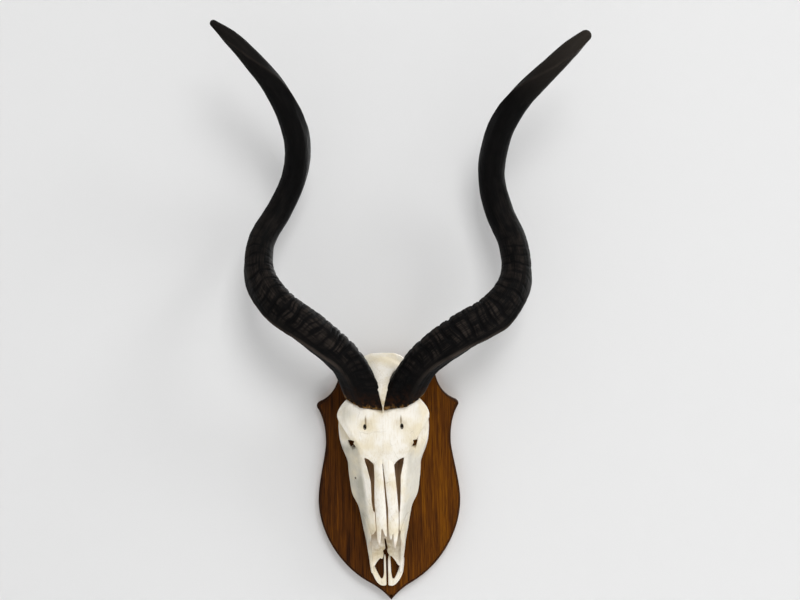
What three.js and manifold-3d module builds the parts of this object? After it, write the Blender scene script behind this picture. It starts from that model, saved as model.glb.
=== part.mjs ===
// Greater kudu skull and spiral horns on a wooden wall shield. Millimetres, Z up.
// The wall is the plane Y = 0, the viewer stands on the -Y side, and the origin is the
// middle of the shield's back face.
import * as THREE from 'three';
import { mergeVertices } from 'three/addons/utils/BufferGeometryUtils.js';
import Module from 'manifold-3d';

const wasm = await Module();
wasm.setup();

// Driving dimensions
const GAP = 0.3; // clearance between pieces that rest on each other
const SHIELD_THICKNESS = 20;
const SHIELD_EDGE = 5; // width and depth of the moulding round the front
const SHIELD_WIDEST = 126.5; // half width, at the ears and at the belly
const SHIELD_FOOT = -231.6;
const SKULL_X = -7; // the skull hangs a little left of the shield's middle
const HORN_SIDES = 12;
const HORN_STEPS = 52;
const TEETH_PER_SIDE = 6;
const TOOTH_ROW_START = -88;
const TOOTH_PITCH = 17.6;
const SKULL_SCREW_Z = [152, -52]; // heights of the two screws that hold the skull
const SKULL_SCREW_DEPTH = [52, 42.5];
const HANGER_Z = 120;

const finish = (color, roughness, metalness = 0) =>
  new THREE.MeshStandardMaterial({ color, roughness, metalness });
const HORN = finish(0x17130f, 0.55);
const BONE = finish(0xeee6d6, 0.7);
const TOOTH = finish(0xe6dcc2, 0.35);
const WOOD = finish(0x5a3413, 0.5);
const STEEL = finish(0xb4b6b8, 0.35, 1);

// ---------------------------------------------------------------- solids

function solid(geometry) {
  const bare = geometry.clone();
  bare.deleteAttribute('normal');
  bare.deleteAttribute('uv');
  const merged = mergeVertices(bare, 1e-4);
  return new wasm.Manifold(new wasm.Mesh({
    numProp: 3,
    vertProperties: new Float32Array(merged.attributes.position.array),
    triVerts: new Uint32Array(merged.index.array),
  }));
}

function named(body, name, material) {
  const { vertProperties, triVerts } = body.getMesh();
  const geometry = new THREE.BufferGeometry();
  geometry.setAttribute('position', new THREE.BufferAttribute(Float32Array.from(vertProperties), 3));
  geometry.setIndex(Array.from(triVerts));
  geometry.computeVertexNormals();
  const mesh = new THREE.Mesh(geometry, material.clone());
  mesh.name = name;
  return mesh;
}

const join = (bodies) => bodies.reduce((whole, body) => whole.add(body));

// A closed skin over rings of equal count, with a fan over each end.
function loft(rings) {
  const count = rings[0].length;
  const points = rings.flat();
  const faces = [];
  for (let r = 0; r < rings.length - 1; r += 1) {
    for (let i = 0; i < count; i += 1) {
      const a = r * count + i;
      const b = r * count + (i + 1) % count;
      faces.push(a, b, a + count, b, b + count, a + count);
    }
  }
  const middle = (ring) => ring.reduce((sum, p) => sum.add(p), new THREE.Vector3()).divideScalar(count);
  const last = (rings.length - 1) * count;
  const ends = points.length;
  points.push(middle(rings[0]), middle(rings[rings.length - 1]));
  for (let i = 0; i < count; i += 1) {
    const j = (i + 1) % count;
    faces.push(ends, j, i, ends + 1, last + i, last + j);
  }
  const geometry = new THREE.BufferGeometry().setFromPoints(points);
  geometry.setIndex(faces);
  return solid(geometry);
}

function ellipsoid([x, y, z], [rx, ry, rz], grow = 0, columns = 16, rows = 10) {
  const ball = new THREE.SphereGeometry(1, columns, rows);
  ball.scale(rx + grow, ry + grow, rz + grow);
  return solid(ball.translate(x, y, z));
}

function box([x0, x1], [y0, y1], [z0, z1]) {
  const block = new THREE.BoxGeometry(x1 - x0, y1 - y0, z1 - z0);
  return solid(block.translate((x0 + x1) / 2, (y0 + y1) / 2, (z0 + z1) / 2));
}

// A solid turned about the Y axis from closed [radius, y] outlines.
function turned(outline, sides) {
  const profile = outline.map(([radius, y]) => new THREE.Vector2(radius, y));
  return solid(new THREE.LatheGeometry([...profile, profile[0]], sides));
}

// Cross-sections of bone along Z. Each row is [z, half width, front y, back y, crown], where
// crown is the width of the front face against the widest part.
function boneLoft(rows, { grow = 0, sides = 18, squareness = 0.62 } = {}) {
  const shape = (value) => Math.sign(value) * Math.abs(value) ** squareness;
  return loft(rows.map(([z, half, front, back, crown], index) => {
    const end = index === 0 ? -grow : index === rows.length - 1 ? grow : 0;
    const ring = [];
    for (let i = 0; i < sides; i += 1) {
      const angle = (2 * Math.PI * i) / sides;
      const depth = shape(Math.sin(angle));
      const width = (half + grow) * shape(Math.cos(angle));
      const narrowing = THREE.MathUtils.lerp(crown, 1, (depth + 1) / 2);
      const y = (front + back) / 2 + ((back - front) / 2 + grow) * depth;
      ring.push(new THREE.Vector3(width * narrowing, y, z + end));
    }
    return ring;
  }));
}

// A bar of bone along a path, with an oval section: each row is [x, y, z, across, deep].
function bar(rows, grow = 0, sides = 12, steps = 10) {
  const path = new THREE.CatmullRomCurve3(rows.map(([x, y, z]) => new THREE.Vector3(x, y, z)));
  const front = new THREE.Vector3(0, -1, 0);
  const rings = [];
  for (let s = 0; s <= steps; s += 1) {
    const at = (s / steps) * (rows.length - 1);
    const row = Math.min(Math.floor(at), rows.length - 2);
    const across = THREE.MathUtils.lerp(rows[row][3], rows[row + 1][3], at - row) / 2 + grow;
    const deep = THREE.MathUtils.lerp(rows[row][4], rows[row + 1][4], at - row) / 2 + grow;
    const along = path.getTangent(s / steps);
    const side = new THREE.Vector3().crossVectors(along, front).normalize();
    const up = new THREE.Vector3().crossVectors(along, side);
    const centre = path.getPoint(s / steps);
    rings.push(Array.from({ length: sides }, (_, i) => {
      const angle = (2 * Math.PI * i) / sides;
      return centre.clone()
        .addScaledVector(side, across * Math.cos(angle))
        .addScaledVector(up, deep * Math.sin(angle));
    }));
  }
  return loft(rings);
}

const bothSides = (body) => body.add(body.mirror([1, 0, 0]));
const hang = (body) => body.translate([SKULL_X, 0, 0]);

// ---------------------------------------------------------------- shield

function shieldOutline() {
  const half = [
    ['to', 16, -212, 40, -199],
    ['bend', 90, -170, SHIELD_WIDEST, -110, SHIELD_WIDEST, -52],
    ['bend', 126, -15, 111.4, 30, 111.4, 53.5],
    ['to', 111.5, 90, 125.2, 114],
    ['to', 129.5, 121.5, 120.5, 124.8],
    ['to', 86, 142, 84, 188],
    ['bend', 66, 199, 30, 199.6, 0, 199.6],
  ];
  const right = new THREE.Path();
  right.moveTo(0, SHIELD_FOOT);
  for (const [kind, ...numbers] of half) {
    if (kind === 'to') right.quadraticCurveTo(...numbers);
    else right.bezierCurveTo(...numbers);
  }
  const points = right.getPoints(6);
  const left = points.slice(1, -1).reverse().map(({ x, y }) => new THREE.Vector2(-x, y));
  return new THREE.Shape([...points, ...left]);
}

function shield(cutters) {
  const board = new THREE.ExtrudeGeometry(shieldOutline(), {
    depth: SHIELD_THICKNESS,
    bevelThickness: SHIELD_EDGE,
    bevelSize: SHIELD_EDGE,
    bevelOffset: -SHIELD_EDGE,
    bevelSegments: 2,
  });
  board.rotateX(Math.PI / 2).translate(0, SHIELD_EDGE, 0);
  const behind = box([-200, 200], [0, 20], [-300, 300]);
  return cutters.reduce((body, cutter) => body.subtract(cutter), solid(board).subtract(behind));
}

// A sawtooth strip let into the back of the shield, standing off the floor of its recess so
// that a wall nail's head goes behind it.
const HANGER = { width: 64, height: 15, sheet: 1.2, recess: 3.4, foot: 9, tooth: 7 };

function hangerOutline() {
  const half = HANGER.width / 2;
  const toothed = half - HANGER.foot - 2;
  const strip = new THREE.Shape();
  strip.moveTo(-half, HANGER.height / 2);
  strip.lineTo(-half, -HANGER.height / 2);
  strip.lineTo(-toothed - 1, -HANGER.height / 2);
  const count = Math.round((2 * toothed) / HANGER.tooth);
  for (let i = 0; i <= count; i += 1) {
    const x = -toothed + (2 * toothed * i) / count;
    strip.lineTo(x, -1.5);
    if (i < count) strip.lineTo(x + toothed / count, 1);
  }
  strip.lineTo(toothed + 1, -HANGER.height / 2);
  strip.lineTo(half, -HANGER.height / 2);
  strip.lineTo(half, HANGER.height / 2);
  return strip;
}

function hanger() {
  const sheet = new THREE.ExtrudeGeometry(hangerOutline(), { depth: HANGER.sheet, bevelEnabled: false });
  const strip = solid(sheet.rotateX(Math.PI / 2)).translate([0, 0, HANGER_Z]);
  const half = HANGER.width / 2;
  const foot = box([half - HANGER.foot, half], [-HANGER.recess + GAP, -HANGER.sheet / 2],
    [HANGER_Z - HANGER.height / 2, HANGER_Z + HANGER.height / 2]);
  return strip.add(foot).add(foot.mirror([1, 0, 0]));
}

const hangerRecess = () => box(
  [-HANGER.width / 2 - GAP, HANGER.width / 2 + GAP],
  [-HANGER.recess, 5],
  [HANGER_Z - HANGER.height / 2 - GAP, HANGER_Z + HANGER.height / 2 + GAP],
);

// A countersunk wood screw, its head at y = 0 and its point toward the viewer.
function screw(length, head, shank, grow = 0) {
  const rise = (head - shank) / 2;
  return turned([
    [0, grow], [head / 2 + grow, grow], [head / 2 + grow, -0.4], [shank / 2 + grow, -0.4 - rise],
    [shank / 2 + grow, -length + shank], [0, -length - grow],
  ].reverse(), 12);
}

const hangerNail = (side, grow) => screw(13, 4, 1.8, grow)
  .translate([side * (HANGER.width - HANGER.foot) / 2, 0, HANGER_Z]);

const skullScrew = (index, grow) => screw(SKULL_SCREW_DEPTH[index], 9, 4.5, grow)
  .translate([SKULL_X, -0.5, SKULL_SCREW_Z[index]]);

// ---------------------------------------------------------------- skull

// The face from the palate's front edge to between the eyes.
const FACE = [
  [-150, 26, -43, -36, 1],
  [-128, 29, -44, -36, 1],
  [-114, 32, -47, -36, 1],
  [-110, 36, -89, -37, 0.64],
  [-98, 38.7, -93, -38, 0.6],
  [-72, 43.5, -100, -38, 0.56],
  [-55, 47.5, -104, -38, 0.54],
  [-34, 56, -109, -38, 0.52],
  [-8, 61, -116, -38, 0.54],
  [22, 61, -122, -39, 0.62],
  [48, 52, -128, -44, 0.9],
  [72, 36, -129, -50, 1],
];

const NASAL_CAVITY = [
  [-165, 26, -100, -41, 0.9],
  [-126, 28, -100, -42, 0.9],
  [-105, 30, -84, -43, 0.7],
  [-72, 36, -93, -44, 0.6],
  [-34, 46, -102, -46, 0.55],
  [-8, 50, -109, -46, 0.55],
  [16, 44, -112, -50, 0.6],
];

// The forehead, a broad plate that stands over both eyes.
const FOREHEAD = [
  [30, 40, -124, -106, 0.95],
  [48, 48, -128, -108, 0.95],
  [62, 55, -130, -110, 0.95],
  [84, 68, -133, -111, 0.94],
  [104, 79, -134, -109, 0.93],
  [118, 75, -134, -106, 0.93],
  [128, 67, -129, -99, 0.92],
  [138, 56, -122, -94, 0.9],
  [150, 46, -117, -87, 0.9],
  [166, 38, -109, -78, 0.9],
];

const BETWEEN_EYES = [
  [20, 34, -122, -46, 0.9],
  [60, 26, -126, -48, 0.9],
  [95, 27, -128, -44, 0.9],
  [130, 34, -122, -40, 0.9],
  [165, 24, -90, -37, 0.9],
];

const EYE_SOCKET = { at: [56, -95, 78], radii: [27, 24, 26] };

const CHEEK_ARCH = [
  [52, -64, -6, 14, 30], [61, -72, 26, 14, 28], [68, -77, 52, 14, 24],
  [71, -76, 80, 14, 20], [66, -69, 112, 10, 13], [46, -64, 146, 9, 14],
];
const BROW_POST = [[72, -118, 106, 12, 10], [75, -98, 104, 8, 9], [71, -76, 98, 9, 8]];

// The two holes above the eyes and the long openings beside the nasal bones.
const BROW_HOLE = { x: 32, z: 87, radius: 2.6 };
const SIDE_OPENING = [[35, 33], [25, 27], [19, 15], [20, -24], [21, -61], [24, -50], [28, -7], [33, 17]];

function cranium(grow) {
  return join([
    boneLoft(FOREHEAD, { grow, squareness: 0.45 }),
    boneLoft(BETWEEN_EYES, { grow }),
    ellipsoid([0, -77, 156], [46, 41, 55], grow),
  ]);
}

function occiput() {
  const condyles = bothSides(ellipsoid([13, -38, 189], [11, 12, 10], 0, 10, 6));
  const processes = bothSides(bar([
    [34, -56, 176, 15, 15], [33, -38, 170, 11, 12], [31, -SHIELD_THICKNESS - 1.6, 163, 5, 6],
  ], 0, 8, 3));
  const bullae = bothSides(ellipsoid([22, -38, 150], [9, 12, 14], 0, 10, 6));
  const backPlate = ellipsoid([0, -62, 194], [43, 32, 14], 0, 16, 6);
  return join([backPlate, condyles, processes, bullae]);
}

// Stumps of bone that carry the horns, cut off square to the horn's foot.
const pedicles = () => join([-1, 1].map((side) => {
  const spine = side < 0 ? HORN_LEFT : HORN_RIGHT;
  return hornSweep(spine.slice(0, 3), { side, scale: 0.8, steps: 3 })
    .subtract(beyondFoot(side, 1))
    .translate([-SKULL_X, 0, 0]);
}));

function skull() {
  const face = boneLoft(FACE).subtract(boneLoft(NASAL_CAVITY));
  const opening = new THREE.Shape(SIDE_OPENING.map(([x, z]) => new THREE.Vector2(x, z)));
  const openingCut = solid(new THREE.ExtrudeGeometry(opening, { depth: 60, bevelEnabled: false })
    .rotateX(Math.PI / 2)).translate([0, -75, 0]);
  const socket = ellipsoid(EYE_SOCKET.at, EYE_SOCKET.radii, 0, 16, 8);
  const browHole = turned([[0, -150], [BROW_HOLE.radius, -150], [BROW_HOLE.radius, -118], [0, -118]], 8)
    .translate([BROW_HOLE.x, 0, BROW_HOLE.z]);
  const spinalHole = ellipsoid([0, -46, 200], [12, 12, 34], 0, 12, 8);
  const bone = join([face, cranium(0), occiput()])
    .subtract(bothSides(join([socket, openingCut, browHole])))
    .subtract(spinalHole)
    .add(bothSides(join([bar(CHEEK_ARCH, 0, 8, 7), bar(BROW_POST, 0, 8, 3)])))
    .add(pedicles());
  return hang(bone);
}

// Each nasal bone is a long shallow roof, forked at its front end.
function nasalBone(side, grow = 0) {
  const rows = [
    [-114, 8.6, -89, -85], [-100, 9, -93.5, -88], [-72, 9.2, -101, -94], [-34, 8.8, -111, -104],
    [-8, 8, -118, -111], [26, 6.8, -124.5, -119],
  ];
  const roof = boneLoft(rows.map(([z, half, front, back]) => [z, half, front, back, 0.86]),
    { grow, sides: 12, squareness: 0.7 }).translate([10.6, 0, 0]);
  const prong = boneLoft([[-131, 1.6, -82, -79, 1], [-112, 3, -88, -84, 1], [-96, 3, -92, -88, 1]],
    { grow, sides: 6 }).translate([14.6, 0, 0]);
  const bone = roof.add(prong);
  return hang(side < 0 ? bone.mirror([1, 0, 0]) : bone);
}

// Each front jaw bone is a flat toe, a strip along the middle and a blade up the side.
function frontJawBone(side, grow = 0) {
  const toe = new THREE.Shape();
  toe.moveTo(1 - grow, -203 - grow);
  toe.quadraticCurveTo(17 + grow, -204 - grow, 22 + grow, -186);
  toe.lineTo(27 + grow, -170);
  toe.lineTo(21 - grow, -170);
  toe.lineTo(10, -186 + grow);
  toe.lineTo(6 + grow, -178);
  toe.lineTo(5 + grow, -148 + grow);
  toe.lineTo(1.6 - grow, -148 + grow);
  const flat = solid(new THREE.ExtrudeGeometry(toe, {
    depth: 7 + 2 * grow, bevelEnabled: false, curveSegments: 4,
  }).rotateX(Math.PI / 2)).translate([0, -26 + grow, 0]);
  const blade = bar([
    [18, -31, -190, 10, 9], [25.5, -36, -170, 7, 16], [29, -44, -150, 6, 20],
    [32, -56, -126, 5, 26], [33, -72, -100, 3, 16],
  ], grow, 10, 6);
  const bone = flat.add(blade);
  return hang(side < 0 ? bone.mirror([1, 0, 0]) : bone);
}

// Cheek teeth stand in one groove of the jaw on each side and grow wider toward the back.
const toothPlace = (index) => ({ x: 27 + 2.1 * index, half: 6 + 0.55 * index });

function toothGroove(side) {
  const square = (z, { x, half }) => [[-1, -42.4], [1, -42.4], [1, -20], [-1, -20]]
    .map(([way, y]) => new THREE.Vector3(x + way * (half + 1), y, z));
  const groove = loft([
    square(TOOTH_ROW_START - GAP, toothPlace(-0.5)),
    square(TOOTH_ROW_START + TEETH_PER_SIDE * TOOTH_PITCH + GAP, toothPlace(TEETH_PER_SIDE - 0.5)),
  ]);
  return hang(side < 0 ? groove.mirror([1, 0, 0]) : groove);
}

function cheekTooth(side, index) {
  const z = TOOTH_ROW_START + TOOTH_PITCH * (index + 0.5);
  const { x, half } = toothPlace(index - 0.35);
  const length = (TOOTH_PITCH - GAP) / 2;
  const corners = [[-1, -0.6], [-0.6, -1], [0.6, -1], [1, -0.6], [1, 0.6], [0.6, 1], [-0.6, 1], [-1, 0.6]];
  const ring = (y, inset) => corners.map(([u, v]) => (
    new THREE.Vector3(x + u * (half - inset), y, z + v * (length - inset))
  ));
  const crown = loft([ring(-SHIELD_THICKNESS - GAP, 1.4), ring(-24, 0), ring(-42, 0.6)]);
  return hang(side < 0 ? crown.mirror([1, 0, 0]) : crown);
}

// ---------------------------------------------------------------- horns

// The spine of each horn: [x, y, z, diameter, keel angle]. The keel is the ridge that winds up
// the horn: 0 faces the viewer, 90 faces away from the skull, 180 faces the wall.
const HORN_LEFT = [
  [-37, -96, 104, 64, 0], [-45, -112, 146, 63, 12], [-68, -136, 201, 62, 28],
  [-122, -163, 253, 62, 49], [-180, -152, 299, 61, 70], [-213, -124, 352, 53, 100],
  [-212, -94, 410, 49, 150], [-181, -74, 466, 46, 190], [-154, -84, 524, 44.5, 235],
  [-148, -128, 587, 44, 262], [-175, -182, 658, 40, 305], [-221, -202, 717, 32, 370],
  [-249.3, -205.5, 746, 26, 400], [-280, -206, 773, 10, 430],
];
const HORN_RIGHT = [
  [24, -96, 104, 64, 0], [34, -112, 146, 64, 12], [65, -136, 199, 64, 28],
  [123, -163, 243, 66, 49], [186, -154, 281, 65, 70], [223, -126, 333, 55, 100],
  [224, -94, 395, 52, 150], [201, -74, 457, 51, 190], [189, -86, 519, 48, 235],
  [202, -136, 585, 44.5, 262], [235, -176, 638, 41.5, 305], [289, -200, 689, 34.5, 370],
  [318.8, -204.5, 716.6, 30, 400], [350, -206, 743, 17, 430],
];
const KEEL_SPREAD = 0.6; // radians from the keel's edge to where its flat sides end
const FOOT_CORNER = { turn: -0.98, height: 0.32, spread: 0.43, fades: 85 };
const footPoint = (side) => new THREE.Vector3(SKULL_X + 33 * side, -133, 120);
const footSlope = (side) => new THREE.Vector3(-0.2 * side, -0.46, 0.865).normalize();

// How far the foot of a horn reaches out toward the other horn, as a share of its radius.
function footCorner(angle, rise) {
  const away = THREE.MathUtils.euclideanModulo(angle - FOOT_CORNER.turn + Math.PI, 2 * Math.PI)
    - Math.PI;
  return FOOT_CORNER.height * Math.exp(-((away / FOOT_CORNER.spread) ** 2))
    * (1 - THREE.MathUtils.smoothstep(rise, 0, FOOT_CORNER.fades));
}

function hornSweep(spine, { side, scale = 1, grow = 0, steps = HORN_STEPS }) {
  const points = spine.map(([x, y, z]) => new THREE.Vector3(x, y, z));
  const path = new THREE.CatmullRomCurve3(points, false, 'catmullrom', 0.5);
  const rings = [];
  for (let s = 0; s <= steps; s += 1) {
    const at = (s / steps) * (spine.length - 1);
    const row = Math.min(Math.floor(at), spine.length - 2);
    const diameter = THREE.MathUtils.lerp(spine[row][3], spine[row + 1][3], at - row);
    const keel = THREE.MathUtils.lerp(spine[row][4], spine[row + 1][4], at - row);
    const along = path.getTangent(s / steps);
    const front = new THREE.Vector3(0, -1, 0).addScaledVector(along, along.y).normalize();
    const out = new THREE.Vector3().crossVectors(along, front).multiplyScalar(side);
    const centre = path.getPoint(s / steps);
    const rise = centre.clone().sub(footPoint(side)).dot(footSlope(side));
    const ring = Array.from({ length: HORN_SIDES }, (_, i) => {
      const turn = (2 * Math.PI * i) / HORN_SIDES;
      const angle = THREE.MathUtils.degToRad(keel) + turn;
      const away = Math.abs(THREE.MathUtils.euclideanModulo(turn + Math.PI, 2 * Math.PI) - Math.PI);
      const keeled = 0.96 / Math.cos(Math.max(KEEL_SPREAD - away, 0));
      const radius = (diameter / 2) * scale * (keeled + footCorner(angle, rise)) + grow;
      return centre.clone()
        .addScaledVector(front, radius * Math.cos(angle))
        .addScaledVector(out, radius * Math.sin(angle));
    });
    rings.push(side > 0 ? ring : ring.reverse());
  }
  return loft(rings);
}

// The foot of each horn is a plane that falls toward the middle of the forehead. Everything
// beyond it, above (way 1) or below (way -1), is one large block, GAP clear of the foot above.
function beyondFoot(side, way) {
  const size = 400;
  const turn = new THREE.Quaternion().setFromUnitVectors(new THREE.Vector3(0, 0, 1), footSlope(side));
  const clearance = way > 0 ? -GAP : 0;
  const block = new THREE.BoxGeometry(size, size, size)
    .translate(0, 0, (way * size) / 2 + clearance)
    .applyQuaternion(turn)
    .translate(...footPoint(side).toArray());
  return solid(block);
}

function horn(side) {
  const spine = side < 0 ? HORN_LEFT : HORN_RIGHT;
  return hornSweep(spine, { side })
    .subtract(beyondFoot(side, -1))
    .subtract(hang(cranium(GAP)));
}

// ---------------------------------------------------------------- assembly

const part = new THREE.Group();
part.name = 'kudu_horn_mount';

const sides = [[-1, 'left'], [1, 'right']];
const screws = [0, 1];
const teeth = sides.flatMap(([side, word]) => Array.from({ length: TEETH_PER_SIDE },
  (_, index) => ({ side, index, name: `cheek_tooth_${word}_${index + 1}` })));

part.add(named(shield([
  hangerRecess(), hangerNail(-1, GAP), hangerNail(1, GAP),
  ...screws.map((index) => skullScrew(index, GAP)),
]), 'shield', WOOD));
part.add(named(hanger().subtract(hangerNail(-1, GAP)).subtract(hangerNail(1, GAP)),
  'sawtooth_hanger', STEEL));
part.add(named(hangerNail(-1, 0), 'hanger_nail_left', STEEL));
part.add(named(hangerNail(1, 0), 'hanger_nail_right', STEEL));
part.add(named(skullScrew(0, 0), 'skull_screw_upper', STEEL));
part.add(named(skullScrew(1, 0), 'skull_screw_lower', STEEL));

const skullCutters = [
  ...sides.flatMap(([side]) => [nasalBone(side, GAP), frontJawBone(side, GAP)]),
  ...sides.map(([side]) => toothGroove(side)),
  ...screws.map((index) => skullScrew(index, GAP)),
];
part.add(named(skullCutters.reduce((bone, cutter) => bone.subtract(cutter), skull()), 'skull', BONE));
for (const [side, word] of sides) {
  part.add(named(nasalBone(side), `nasal_bone_${word}`, BONE));
  part.add(named(frontJawBone(side), `front_jaw_bone_${word}`, BONE));
  part.add(named(horn(side), `horn_${word}`, HORN));
}
for (const { side, index, name } of teeth) {
  part.add(named(cheekTooth(side, index), name, TOOTH));
}

export default part;
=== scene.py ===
import math
from functools import partial

import bmesh
import bpy
import numpy as np
import openvdb
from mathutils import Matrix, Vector


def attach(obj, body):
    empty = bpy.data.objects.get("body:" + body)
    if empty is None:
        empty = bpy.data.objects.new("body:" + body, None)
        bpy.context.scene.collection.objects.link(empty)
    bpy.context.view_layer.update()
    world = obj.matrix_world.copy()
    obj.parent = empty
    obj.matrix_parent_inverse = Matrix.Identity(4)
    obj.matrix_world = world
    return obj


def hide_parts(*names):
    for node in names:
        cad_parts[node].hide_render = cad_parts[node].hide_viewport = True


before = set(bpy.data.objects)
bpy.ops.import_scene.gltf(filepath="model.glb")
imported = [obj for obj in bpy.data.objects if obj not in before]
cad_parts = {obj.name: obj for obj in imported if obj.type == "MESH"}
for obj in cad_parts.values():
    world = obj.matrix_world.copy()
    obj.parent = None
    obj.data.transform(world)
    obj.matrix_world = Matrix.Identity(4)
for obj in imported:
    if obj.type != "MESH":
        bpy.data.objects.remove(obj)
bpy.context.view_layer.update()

# ---------------------------------------------------------------- shield
# A single solid board cut to a pointed shield with two ears, its front edge routed with a
# small step and a rounded shoulder, stained brown and varnished. A shallow recess in its flat
# back takes the hanger, and two countersunk holes take the screws that hold the skull.

SHIELD_THICKNESS = 0.020
SHIELD_WIDEST = 0.1265
SHIELD_FOOT = -0.2316
SHIELD_TOP = 0.1996
EDGE_STEP = 0.0012     # the small step inside the moulding
EDGE_ROUND = 0.0038    # the rounded shoulder
SKULL_SCREWS = [(-0.007, 0.152), (-0.007, -0.052)]
WOOD_DARK = "#200c02"
WOOD_MIDDLE = "#532c05"
WOOD_LIGHT = "#744405"
WOOD_PORE = "#1d0c03"
WOOD_EDGE = "#221006"
BACK_OF_BOARD = "#8d6a43"


def paint(code):
    """sRGB hex to the linear colour that shader sockets hold."""
    channels = [int(code[i:i + 2], 16) / 255 for i in (1, 3, 5)]
    return (*[c / 12.92 if c <= 0.04045 else ((c + 0.055) / 1.055) ** 2.4 for c in channels], 1.0)


def add_node(tree, kind, settings=None, stops=(), **inputs):
    """Adds one node. Its settings are a dictionary, or just the name of its operation. An input
    is called by its name or by _ and its number; it takes a plain value, another node's output,
    or a node for that node's first output. One left out keeps its default, such as the 0 and 1
    of a map range. Stops are a ramp's positions and hex colours."""
    node = tree.nodes.new(kind)
    if isinstance(settings, str):
        settings = {"operation": settings}
    for name, value in (settings or {}).items():
        setattr(node, name, value)
    for name, value in inputs.items():
        socket = node.inputs[int(name[1:]) if name[0] == "_" else name.replace("_", " ")]
        if isinstance(value, bpy.types.Node):
            value = value.outputs[0]
        if isinstance(value, bpy.types.NodeSocket):
            tree.links.new(value, socket)
        else:
            socket.default_value = value
    for k, (position, code) in enumerate(stops):
        elements = node.color_ramp.elements
        if k == 0:
            elements.remove(elements[1])
            elements[0].position = position
        (elements[0] if k == 0 else elements.new(position)).color = paint(code)
    return node


SMOOTH = {"interpolation_type": "SMOOTHSTEP"}    # a map range that eases in and out


def new_material(name):
    """A material with an empty node tree, and the function that adds nodes to it."""
    material = bpy.data.materials.new(name)
    material.use_nodes = True
    material.node_tree.nodes.clear()
    return material, partial(add_node, material.node_tree)


def bezier(points, count):
    """Points along one Bezier piece, without its last point."""
    t = np.linspace(0, 1, count, endpoint=False)[:, None]
    if len(points) == 3:
        a, b, c = np.array(points, float)
        return (1 - t) ** 2 * a + 2 * t * (1 - t) * b + t ** 2 * c
    a, b, c, d = np.array(points, float)
    return (1 - t) ** 3 * a + 3 * t * (1 - t) ** 2 * b + 3 * t ** 2 * (1 - t) * c + t ** 3 * d


def shield_outline(blunt):
    """The shield's right half from foot to crown, then the left half down again, in metres. Its
    ears are blunt or sharp, with the same number of points."""
    w = SHIELD_WIDEST
    ear = [
        bezier([(0.1114, 0.0535), (0.1115, 0.090), (0.1244, 0.1120)], 22),
        bezier([(0.1244, 0.1120), (0.1312, 0.1217), (0.1170, 0.1268)], 8),
        bezier([(0.1170, 0.1268), (0.086, 0.142), (0.084, 0.188)], 26),
    ] if blunt else [
        bezier([(0.1114, 0.0535), (0.1115, 0.090), (w, 0.120)], 26),
        bezier([(w, 0.120), (0.086, 0.142), (0.084, 0.188)], 30),
    ]
    right = np.vstack([
        bezier([(0, SHIELD_FOOT), (0.016, -0.212), (0.040, -0.199)], 14),
        bezier([(0.040, -0.199), (0.090, -0.170), (w, -0.110), (w, -0.052)], 40),
        bezier([(w, -0.052), (0.126, -0.015), (0.1114, 0.030), (0.1114, 0.0535)], 26),
        *ear,
        bezier([(0.084, 0.188), (0.066, 0.199), (0.030, SHIELD_TOP), (0, SHIELD_TOP)], 26),
    ])
    left = right[1:][::-1] * (-1, 1)
    return np.vstack([right, [(0, SHIELD_TOP)], left])


def drawn_in(outline, distance):
    """The outline moved inward by a distance, with its corners kept sharp."""
    before, after = np.roll(outline, 1, axis=0), np.roll(outline, -1, axis=0)
    normals = []
    for start, end in ((before, outline), (outline, after)):
        step = end - start
        step /= np.linalg.norm(step, axis=1)[:, None]
        normals.append(np.stack([-step[:, 1], step[:, 0]], 1))
    middle = normals[0] + normals[1]
    middle /= (middle * normals[1]).sum(1)[:, None]
    return outline + np.clip(middle, -1.6, 1.6) * distance


def uncrossed(ring, ears):
    """The ring with the points that ran past each other inside an ear spread out again."""
    for ear, rising in zip(ears, (True, False)):
        span = np.arange(ear - 14, ear + 15)
        below = ring[span, 1] < ring[ear, 1]
        kept = span[(below == ((span < ear) == rising)) | (span == ear)]
        ring[span] = np.stack([np.interp(span, kept, ring[kept, axis]) for axis in (0, 1)], 1)
    return ring


def tube(start, rows, sides):
    """The faces of a closed tube: rows of points round it, numbered from start, and two ends."""
    walls = [(start + r * sides + k, start + r * sides + (k + 1) % sides,
              start + (r + 1) * sides + (k + 1) % sides, start + (r + 1) * sides + k)
             for r in range(rows - 1) for k in range(sides)]
    far_end = [start + (rows - 1) * sides + k for k in range(sides)]
    near_end = [start + k for k in reversed(range(sides))]
    return walls + [far_end, near_end]


def mesh_piece(name, points, faces, material, smooth=True):
    """A new object at the origin from points in metres."""
    mesh = bpy.data.meshes.new(name)
    mesh.from_pydata([tuple(p) for p in points], [], [tuple(f) for f in faces])
    mesh.materials.append(material)
    mesh.polygons.foreach_set("use_smooth", [smooth] * len(mesh.polygons))
    piece = bpy.data.objects.new(name, mesh)
    bpy.context.collection.objects.link(piece)
    return piece


def applied(piece):
    """The piece with its modifiers turned into plain mesh and its faces outward."""
    ready = piece.evaluated_get(bpy.context.evaluated_depsgraph_get())
    mesh = bpy.data.meshes.new_from_object(ready)
    piece.modifiers.clear()
    piece.data = mesh
    loose = bmesh.new()
    loose.from_mesh(mesh)
    bmesh.ops.recalc_face_normals(loose, faces=loose.faces)
    loose.to_mesh(mesh)
    loose.free()
    return piece


def carry(piece, slot, *nodes):
    """Hangs a finished piece on the one body and hides the CAD nodes it stands for."""
    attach(piece, "root")
    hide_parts(*nodes)


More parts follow.
